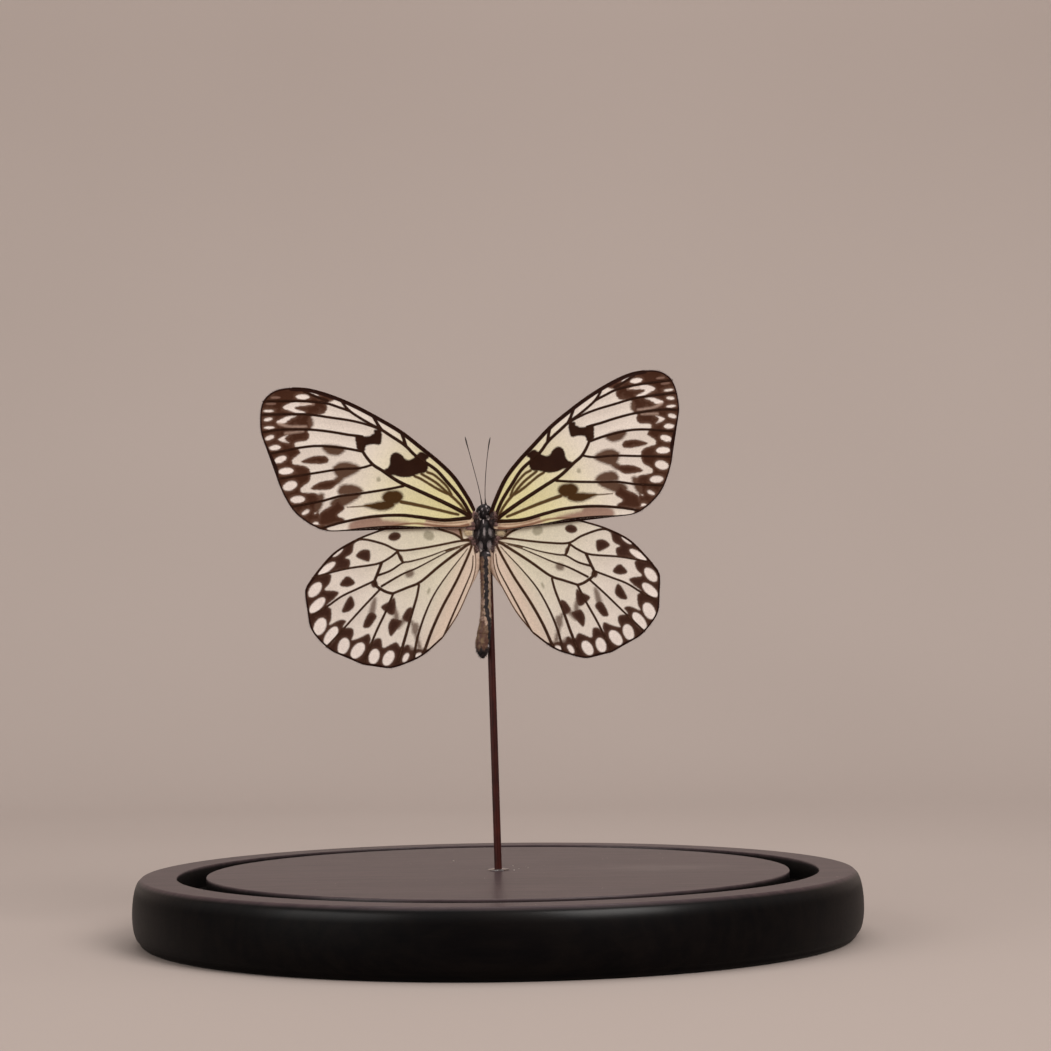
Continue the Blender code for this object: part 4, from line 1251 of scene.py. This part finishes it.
def thin_sheet(name, front, back, material):
    """A closed thin sheet between two grids of points of the same shape."""
    rows, columns = front.shape[:2]
    index = np.arange(rows * columns).reshape(rows, columns)
    quads = np.stack([index[:-1, :-1], index[1:, :-1], index[1:, 1:], index[:-1, 1:]], axis=-1).reshape(-1, 4)
    rim = np.concatenate([index[:, 0], index[-1, 1:], index[-2::-1, -1], index[0, -2:0:-1]])
    after = np.roll(rim, -1)
    size = rows * columns
    walls = np.stack([rim, rim + size, after + size, after], axis=1)
    faces = np.vstack([quads, quads[:, ::-1] + size, walls])
    mesh = bpy.data.meshes.new(name)
    mesh.from_pydata(np.vstack([front.reshape(-1, 3), back.reshape(-1, 3)]).tolist(), [], faces.tolist())
    bm = bmesh.new()
    bm.from_mesh(mesh)
    bmesh.ops.recalc_face_normals(bm, faces=bm.faces)
    bm.to_mesh(mesh)
    bm.free()
    return add_object(name, mesh, material)


def make_folds():
    edge = smooth_points([(2.7, -4.6)] + OUTLINES["hind"]["hind"][:6], 0.35)
    edge = edge[edge[:, 1] > FOLD_UP[0]] + (0.15, 0)
    reach = np.interp(edge[:, 1], FOLD_UP, FOLD_REACH)
    for side, pose in POSES.items():
        grids = []
        for half in (FOLD_HALF, -FOLD_HALF):
            columns = []
            for bend in np.linspace(0, FOLD_BEND, 8):
                out = edge[:, 0] - reach * math.sin(bend) / math.sin(FOLD_BEND)
                lift = wave(edge[:, 0], edge[:, 1]) - 0.1 - 1.1 * reach * (1 - math.cos(bend)) + half
                columns.append(on_wing(out, edge[:, 1], lift, pose, "hind"))
            grids.append(np.stack(columns, axis=1))
        node = "hindwing_" + side
        hand_over(thin_sheet(node + "_fold", *grids, FOLD_FINISH), node)


make_roots()
make_folds()


# %% [markdown]
# ## Eyes, palps and tongue
# The head carries two large faceted eyes at its sides, a pair of hairy palps and, under it, the tongue wound
# up like a watch spring. The facets are far too small to model one by one, so the finish gives them.

# %% Eyes
def eye_material():
    material, start, shader = start_material("eye_facets")
    place = object_place(start)
    cells = place.node("ShaderNodeTexVoronoi", {"feature": "F1"}, {"Vector": place, "Scale": 14.0})
    colour = place.noise(1.2).blend(paint(20, 13, 12), paint(46, 30, 26))
    wire(start, shader, Base_Color=colour, Roughness=0.22, Coat_Weight=0.4, Coat_Roughness=0.1,
         Normal=bump(start, 1 - cells, 0.02 * MM))
    return material


def make_eyes():
    places = [(INSECT + Vector((side * 1.52, 0.05, 3.7)) * MM, np.array([0.82, 1.12, 1.25]) * MM)
              for side in (-1, 1)]
    mesh = ovals_mesh("eyes", places, 27, 40)[0]
    hand_over(add_object("eyes", mesh, eye_material()), "head")


# %% Palps and tongue
def shell_material(name, dark, light, gloss):
    """The thin horny skin of feelers, legs and tongue."""
    return mottled(name, dark, light, (1.8, 3.0), (0.3, 0.75), (7.0,), 0.03,
                   Roughness=gloss, Specular_IOR_Level=0.45)


SHELL = shell_material("black_shell", (22, 17, 16), (52, 42, 38), 0.38)
TONGUE = shell_material("tongue_shell", (48, 28, 20), (80, 50, 34), 0.35)


def body_points(points):
    """(across, depth, up) points in millimetres, in the object's frame."""
    return np.array(points, float) * MM + np.array(INSECT)


TONGUE_TURNS = 3.6


def make_mouth():
    """Two palps and the coiled tongue between them."""
    palps = []
    for side in (-1, 1):
        line = smooth_points([(side * 0.45, 1.1, 4.5), (side * 0.6, 1.75, 5.0), (side * 0.62, 1.95, 5.7),
                              (side * 0.55, 1.9, 6.3)], 0.12)
        share = np.linspace(0, 1, len(line))
        palps.append((body_points(line), (0.26 - 0.2 * share ** 2) * MM))
    piece = grow("palps", paths_mesh("palps", palps), STRANDS, SHELL, Sides=12)
    hand_over(piece, "head")
    turns = np.linspace(0, 2 * math.pi * TONGUE_TURNS, 150)
    radius = 0.18 + 0.052 * turns
    line = np.stack([0.05 * np.sin(turns * 0.28), 2.55 + radius * 0.62 * np.cos(turns),
                     3.6 + radius * np.sin(turns)], axis=1)
    half = np.linspace(0.05, 0.11, len(line))
    piece = grow("tongue", paths_mesh("tongue", [(body_points(line), half * MM)]), STRANDS, TONGUE, Sides=8)
    hand_over(piece, "head")


make_eyes()
make_mouth()

# %% [markdown]
# ## Feelers and legs
# A feeler is a row of some forty short segments that swell into a slim club. A leg has a thigh, a shin with
# spines and a thin foot. Each segment is drawn by letting the strand's thickness rise and fall along it.

# %% Feelers
FEELERS = {
    "antenna_left": [(-0.62, -0.5, 5.6), (-1.1, -1.0, 8.6), (-2.1, -1.7, 13.0), (-3.5, -2.5, 18.4),
                     (-4.5, -2.9, 22.2), (-5.0, -3.1, 24.3)],
    "antenna_right": [(0.38, -0.5, 5.6), (0.3, -1.1, 8.8), (0.5, -2.0, 13.2), (1.0, -3.0, 18.2),
                      (1.55, -3.5, 22.0), (1.95, -3.7, 24.0)],
}
FEELER_SEGMENTS = 42
FEELER_STATIONS = [0, 0.04, 0.1, 0.6, 0.8, 0.9, 0.97, 1]
FEELER_HALVES = [0.22, 0.2, 0.1, 0.085, 0.1, 0.17, 0.15, 0.05]
for node, points in FEELERS.items():
    line = smooth_points(points, 0.11)
    share = np.linspace(0, 1, len(line))
    thick = np.interp(share, FEELER_STATIONS, FEELER_HALVES)
    rhythm = 1 + 0.16 * np.abs(np.sin(math.pi * FEELER_SEGMENTS * share))
    path = paths_mesh(node, [(body_points(line), thick * rhythm * MM)])
    piece = grow(node + "_segments", path, STRANDS, SHELL, Sides=10)
    hand_over(piece, node)

# %% Legs with their spines
LEGS = {
    "foreleg": [(0.7, 2.2, 0.2), (0.9, 3.4, -0.3), (1.6, 4.1, 1.9), (1.1, 4.5, -0.7), (0.8, 4.4, -1.9)],
    "midleg": [(1.2, 2.1, -1.5), (1.7, 3.5, -2.2), (4.9, 5.5, 2.0), (4.6, 6.4, -6.0), (3.6, 6.1, -11.6)],
    "hindleg": [(1.3, 1.9, -2.9), (2.0, 3.6, -3.3), (3.0, 4.7, -1.0), (1.7, 5.7, -10.4), (0.8, 5.3, -15.4)],
}
LEG_HALF = [0.34, 0.36, 0.26, 0.19, 0.12]
for name, points in LEGS.items():
    for side, sign in (("left", -1), ("right", 1)):
        node = f"{name}_{side}"
        line, half = [], []
        for i, (here, there) in enumerate(zip(points, points[1:])):
            length = math.dist(here, there)
            share = np.linspace(0, 1, max(4, round(length / 0.18)))
            knee = 0.7 + 0.42 * np.sin(math.pi * np.clip(share, 0.02, 0.98)) ** 0.5
            if i == len(points) - 2:
                knee = 0.85 + 0.2 * np.abs(np.sin(5 * math.pi * share))
            line.append(np.outer(1 - share, here) + np.outer(share, there))
            half.append((LEG_HALF[i] + (LEG_HALF[i + 1] - LEG_HALF[i]) * share) * knee)
        line = np.vstack([stretch[:-1] for stretch in line[:-1]] + [line[-1]]) * (sign, 1, 1)
        half = np.concatenate([stretch[:-1] for stretch in half[:-1]] + [half[-1]]) * MM
        leg = grow(node + "_shell", paths_mesh(node, [(body_points(line), half)]), STRANDS, SHELL, Sides=10)
        skin = leg.data.copy()
        store(skin, "cover", np.ones(len(skin.vertices)))
        store(skin, "comb", np.tile([0, 0, -1.0], (len(skin.vertices), 1)), "FLOAT_VECTOR")
        spines = grow(node + "_spines", skin, HAIR, SHELL, Density=9e6, Lie=0.45, Seed=8, Length=0.5 * MM,
                      Thickness=0.022 * MM, Mess=0.2, Curl=2.0)
        hand_over(leg, node)
        hand_over(spines, node)


# %% [markdown]
# ## Rod and glue
# The rod is a slim turned stick, stained red-brown. Its grain runs along it, so the noise is stretched that
# way. A flat ring of dried glue holds its foot.

# %% Rod
ROD_R = 1.03 * MM
ROD_TOP = Vector((-1.8, 0.0, 109.2)) * MM
BASE_TOP = 18                       # millimetres above the floor
BASE_H = BASE_TOP * MM
ROD_SEAT = 8 * MM                   # how deep the rod's hole goes


def rod_point(height):
    share = (height - BASE_H) / (ROD_TOP.z - BASE_H)
    return Vector((ROD_TOP.x * share, 0, height))


def rod_material():
    material, start, shader = start_material("rod_stain")
    place = object_place(start)
    grain = place.noise(3.2, 4.0, (1, 1, 0.05), 0.6)
    fine = place.noise(9.0, 2.0, (1, 1, 0.08))
    colour = grain.between(0.3, 0.72).blend(paint(66, 21, 15), paint(29, 8, 6))
    colour = (place.noise(0.12, 2.0).between(0.45, 0.75) * 0.3).blend(colour, paint(104, 42, 28))
    wire(start, shader, Base_Color=colour, Roughness=0.3 + 0.15 * fine, Specular_IOR_Level=0.22,
         Normal=bump(start, 0.6 * grain + 0.4 * fine, 0.06 * MM))
    return material


def make_rod():
    low, high = rod_point(BASE_H - ROD_SEAT + 0.3 * MM), ROD_TOP
    line = np.array([tuple(low.lerp(high, share)) for share in np.linspace(0, 1, 60)])
    half = np.full(len(line), ROD_R)
    half[0] *= 0.9
    half[-1] *= 0.85
    piece = grow("rod_stick", paths_mesh("rod_stick", [(line, half)]), STRANDS, rod_material(), Sides=40)
    hand_over(piece, "rod")


make_rod()


# %% [markdown]
# ## Turned pieces
# The base was turned on a lathe, so it is a profile swept round by a Screw modifier, as in the plain model
# but with many more steps and softer edges. The rod's hole is then drilled with a Boolean.

# %% Lathe
def turned(name, profile, steps, material):
    """Turn a profile of (radius, height) points in metres about Z, from the top down its outer side."""
    bm = bmesh.new()
    points = [bm.verts.new((radius, 0, height)) for radius, height in profile]
    for first, second in zip(points, points[1:]):
        bm.edges.new((first, second))
    piece = add_object(name, from_bmesh(name, bm), material)
    screw = piece.modifiers.new("Turn", "SCREW")
    screw.steps = screw.render_steps = steps
    screw.use_merge_vertices = True
    screw.merge_threshold = 1e-6
    screw.use_smooth_shade = True
    return piece


def arc(centre_r, centre_z, reach_r, reach_z, start, end, count):
    """Points along an elliptical corner, from the start angle to the end angle in degrees."""
    angles = np.radians(np.linspace(start, end, count))
    return [(centre_r + reach_r * math.cos(a), centre_z + reach_z * math.sin(a)) for a in angles]


# %% [markdown]
# ## The wooden base
# The base is stained nearly black and polished to a satin shine. Seen so low, its top mirrors the pale wall:
# that reflection is painted into the top's colour as a lighter grey, and its side stays dark. Turning leaves
# faint rings, the grain shows through in long streaks, and single dust specks lie on the top.

# %% Base finish
def base_material():
    material, start, shader = start_material("stained_wood")
    place = object_place(start)
    across, deep, height = place.parts()
    grain = place.noise(0.55, 5.0, (0.06, 1.0, 0.35), 0.65)
    pores = place.noise(3.4, 3.0, (0.04, 1.0, 0.5), 0.6)
    cloud = place.noise(0.03, 2.0)
    colour = grain.between(0.3, 0.75).blend(paint(4, 3, 4), paint(13, 9, 8))
    colour = (pores.between(0.55, 0.75) * 0.5).blend(colour, paint(5, 4, 5))
    colour = (cloud.between(0.4, 0.8) * 0.15).blend(colour, paint(24, 18, 17))
    flat = place.spread((1, 1, 0))
    radius = flat.node("ShaderNodeVectorMath", {"operation": "LENGTH"}, {0: flat}, out=1)
    # Painted reflection: the top's colour is a lighter grey that stands for the pale wall mirrored in the
    # finish
    painted_top_reflection = grain.between(0.3, 0.7).blend(paint(60, 48, 51), paint(76, 61, 63))
    across, deep = (across - 46) / 27, (deep - 3) / 12
    far = (across * across + deep * deep).sum("SQRT")
    smear = (far + 1.2 * (place.noise(0.12, 3.0, (0.5, 1, 1)) - 0.5)).between(1.0, 0.2) * 0.35
    painted_top_reflection = smear.blend(painted_top_reflection, paint(104, 92, 90))
    # The top, above about 17 mm, takes the painted reflection colour with its dust smear; the side keeps the
    # dark stain
    colour = height.between(16.9, 17.9).blend(colour, painted_top_reflection)
    polish = height.between(13.8, 17.4) * (0.34 + 0.06 * radius.between(84, 83))
    wire(start, shader, Base_Color=colour, Roughness=0.36 + 0.12 * pores + 0.05 * cloud,
         Coat_Weight=polish * (0.9 + 0.3 * cloud), Coat_Roughness=0.27, Specular_IOR_Level=0.05,
         Normal=bump(start, 0.7 * grain + 0.3 * pores, 0.03 * MM))
    return material


# %% Base
DISC_R, RIM_R = 80, 88              # where the disc ends and the rim begins, millimetres from the axis
GROOVE_FLOOR = 12
EDGE, FILLET = 0.35, 0.25           # softness of the top edges and of the groove's corners
BULGE = 8.4                         # height of the widest ring
DRILL_PLAY = 0.15 * MM


def base_profile():
    """Disc, groove, rim, bulging side and rounded foot, top first."""
    h, low = BASE_TOP, GROOVE_FLOOR + FILLET
    points = [(0, h), (DISC_R - 0.6, h)] + arc(DISC_R - EDGE, h - EDGE, EDGE, EDGE, 80, 0, 5)
    points += [(DISC_R, low)] + arc(DISC_R + FILLET, low, -FILLET, -FILLET, 20, 90, 4)
    points += arc(RIM_R - FILLET, low, FILLET, -FILLET, 90, 0, 5)
    points += arc(RIM_R + EDGE, h - EDGE, -EDGE, EDGE, 0, 80, 5)
    points += [(RIM_R + 0.6, h), (97.0, h)] + arc(97.1, h - 0.7, 0.8, 0.7, 84, 30, 5)
    points += arc(97.8, BULGE, 2.2, 9.0, 76, 0, 14)
    points += arc(98.2, BULGE, 1.8, 6.6, -8, -72, 8)
    points += arc(96, 1.8, 2.2, 1.8, -10, -90, 8)
    return [(r * MM, z * MM) for r, z in points + [(0, 0)]]


def make_base():
    base = turned("base_turned", base_profile(), 320, base_material())
    axis = rod_point(2 * BASE_H) - rod_point(BASE_H - ROD_SEAT)
    bm = bmesh.new()
    turn = axis.to_track_quat("Z", "Y").to_matrix().to_4x4()
    place = Matrix.Translation(rod_point(BASE_H - ROD_SEAT) + axis / 2) @ turn
    bmesh.ops.create_cone(bm, cap_ends=True, segments=40, radius1=ROD_R + DRILL_PLAY,
                          radius2=ROD_R + DRILL_PLAY, depth=axis.length, matrix=place)
    mesh = from_bmesh("drill", bm)
    drill = bpy.data.objects.new("drill", mesh)
    PIECES.objects.link(drill)
    cut = base.modifiers.new("Drill", "BOOLEAN")
    cut.object, cut.solver = drill, "EXACT"
    plain_mesh(base)
    bpy.data.objects.remove(drill)
    base.data.set_sharp_from_angle(angle=math.radians(40))
    hand_over(base, "base")


# %% Glue
GLUE_FINISH = mottled("dried_glue", (70, 52, 48), (48, 34, 31), (1.1, 3.0), (0.3, 0.7), (1.6, 2.0), 0.1,
                      Roughness=0.25, Coat_Weight=1.0, Coat_Roughness=0.08)
GLUE_IN, GLUE_WIDE, GLUE_LOW = 1.05, 1.75, 18.02    # inner radius, width and underside in millimetres


def make_glue():
    """A low uneven ring round the rod's foot."""
    top = (GLUE_IN, GLUE_LOW + 0.5)
    profile = [top] + arc(GLUE_IN, GLUE_LOW + 0.06, GLUE_WIDE, 0.44, 66, 2, 9)
    profile += [(2.78, GLUE_LOW), (GLUE_IN, GLUE_LOW), top]
    ring = turned("glue_ring", [(r * MM, z * MM) for r, z in profile], 64, GLUE_FINISH)
    plain_mesh(ring)
    for vert in ring.data.vertices:
        angle = math.atan2(vert.co.y, vert.co.x)
        reach = math.hypot(vert.co.x, vert.co.y) - GLUE_IN * MM
        uneven = 0.12 * math.sin(2 * angle + 0.5) + 0.08 * math.sin(5 * angle)
        swell = 1 + uneven * reach / (GLUE_WIDE * MM)
        vert.co.x *= swell
        vert.co.y *= swell
    hand_over(ring, "glue_bead")


make_base()
make_glue()


# %% [markdown]
# ## Dust
# A few pale specks lie on the base, as they do on any dark polished wood. They are tiny closed grains, placed
# one by one where one is plain to see and scattered by a fixed seed elsewhere.

# %% Dust grains
DUST_SEEN = [(-13.2, 29.9, 0.26), (4.0, 12.9, 0.14), (4.4, -1.3, 0.17), (5.7, 3.2, 0.12), (8.2, 6.0, 0.12)]
DUST_COUNT = 70


def dust_tree():
    tree, given = open_tree("dust", [])
    start = given["Shape"]
    grain = start.node("GeometryNodeMeshIcoSphere", None, {"Radius": 1.0, "Subdivisions": 1})
    turn = start.node("FunctionNodeRandomValue", {"data_type": "FLOAT_VECTOR"},
                      {0: (0, 0, 0), 1: (6.28, 6.28, 6.28), 8: 4})
    spun = start.node("FunctionNodeEulerToRotation", None, {0: turn})
    copies = start.node("GeometryNodeInstanceOnPoints", None,
                        {"Points": start, "Instance": grain, "Rotation": spun,
                         "Scale": attribute(start, "half")})
    close_tree(tree, copies, given["Finish"])
    return tree


def make_dust():
    pick = np.random.default_rng(7)
    radius = np.sqrt(pick.uniform(0, 1, DUST_COUNT)) * 77
    radius = np.where(pick.uniform(0, 1, DUST_COUNT) < 0.25, pick.uniform(89.5, 95.5, DUST_COUNT), radius)
    angle = pick.uniform(0, 2 * math.pi, DUST_COUNT)
    halves = 0.025 + 0.05 * pick.uniform(0, 1, DUST_COUNT) ** 2
    places = np.stack([radius * np.cos(angle), radius * np.sin(angle), BASE_TOP + 0.6 * halves], axis=1)
    seen = np.array([(x, y, BASE_TOP + 0.6 * half) for x, y, half in DUST_SEEN])
    mesh = bpy.data.meshes.new("dust_grains")
    mesh.from_pydata((np.vstack([seen, places]) * MM).tolist(), [], [])
    store(mesh, "half", np.concatenate([[half for x, y, half in DUST_SEEN], halves]) * MM)
    material, start, shader = start_material("dust")
    colour = object_place(start).noise(0.4).between(0.3, 0.7)
    colour = colour.blend(paint(206, 196, 190), paint(150, 138, 130))
    wire(start, shader, Base_Color=colour, Roughness=0.9)
    hand_over(grow("dust_grains", mesh, dust_tree(), material), "base")


make_dust()


# %% [markdown]
# ## Floor, light and camera
# The stage is a plain pale sweep: a floor that curves up into a wall, so no line crosses the picture. Light
# is soft and comes from large panels, one high on the right and in front, one lower on the left, and one
# for the wall. The camera stands a little above the base and looks slightly up.

# %% Sweep
def make_sweep():
    """A floor that turns up into a wall behind the object."""
    profile = [(-1.6, 0.0), (0.55, 0.0)]
    angles = np.radians(np.linspace(6, 90, 15))
    profile += [(0.55 + 0.5 * math.sin(a), 0.5 - 0.5 * math.cos(a)) for a in angles]
    profile += [(1.05, 2.4)]
    bm = bmesh.new()
    rows = [[bm.verts.new((x, y, z)) for y, z in profile] for x in (-2.5, 2.5)]
    for near, far in zip(zip(rows[0], rows[0][1:]), zip(rows[1], rows[1][1:])):
        bm.faces.new((near[0], far[0], far[1], near[1]))
    mesh = from_bmesh("sweep", bm)
    material, start, shader = start_material("sweep_paper")
    place = object_place(start)
    colour = place.noise(0.004, 1.0).blend(paint(173, 159, 152), paint(179, 165, 158))
    wire(start, shader, Base_Color=colour, Roughness=0.9, Specular_IOR_Level=0.1)
    sweep = add_object("sweep", mesh, material)
    print("sweep:", len(mesh.polygons), "faces")


def add_panel(name, place, aim, size, power, colour=(1, 1, 1)):
    """A soft rectangular light that faces a point."""
    lamp = bpy.data.lights.new(name, "AREA")
    lamp.shape = "RECTANGLE"
    lamp.size, lamp.size_y = size
    lamp.energy = power
    lamp.color = colour
    thing = bpy.data.objects.new(name, lamp)
    bpy.context.scene.collection.objects.link(thing)
    thing.location = place
    thing.rotation_euler = (Vector(aim) - Vector(place)).to_track_quat("-Z", "Y").to_euler()


make_sweep()
add_panel("key", (0.9, -1.1, 1.1), (0, 0, 0.09), (0.9, 0.9), 20, (1.0, 0.97, 0.94))
add_panel("fill", (-1.2, -0.9, 0.6), (0, 0, 0.09), (1.0, 1.0), 9.5, (1.0, 0.98, 0.95))
add_panel("overhead", (0.0, 0.3, 1.6), (0, 0.3, 0), (1.4, 1.0), 9)
world = bpy.data.worlds.new("studio")
bpy.context.scene.world = world
world.use_nodes = True
world.node_tree.nodes["Background"].inputs[0].default_value = (0.88, 0.85, 0.82, 1)
world.node_tree.nodes["Background"].inputs[1].default_value = 0.38

# %% Camera
CAMERA_PLACE = Vector((8.7, -705, 80.2)) * MM
CAMERA_LENS = 87.0
PITCH_UP, ROLL = math.radians(2.68), math.radians(-0.71)
eye = bpy.data.cameras.new("eye")
eye.lens = CAMERA_LENS
eye.sensor_width = 36
eye.clip_start = 0.01
camera = bpy.data.objects.new("camera", eye)
bpy.context.scene.collection.objects.link(camera)
camera.matrix_world = (Matrix.Translation(CAMERA_PLACE) @ Matrix.Rotation(math.pi / 2 + PITCH_UP, 4, "X")
                       @ Matrix.Rotation(ROLL, 4, "Z"))
bpy.context.scene.camera = camera
bpy.context.scene.view_settings.view_transform = "Standard"
print("camera lens", eye.lens, "mm")
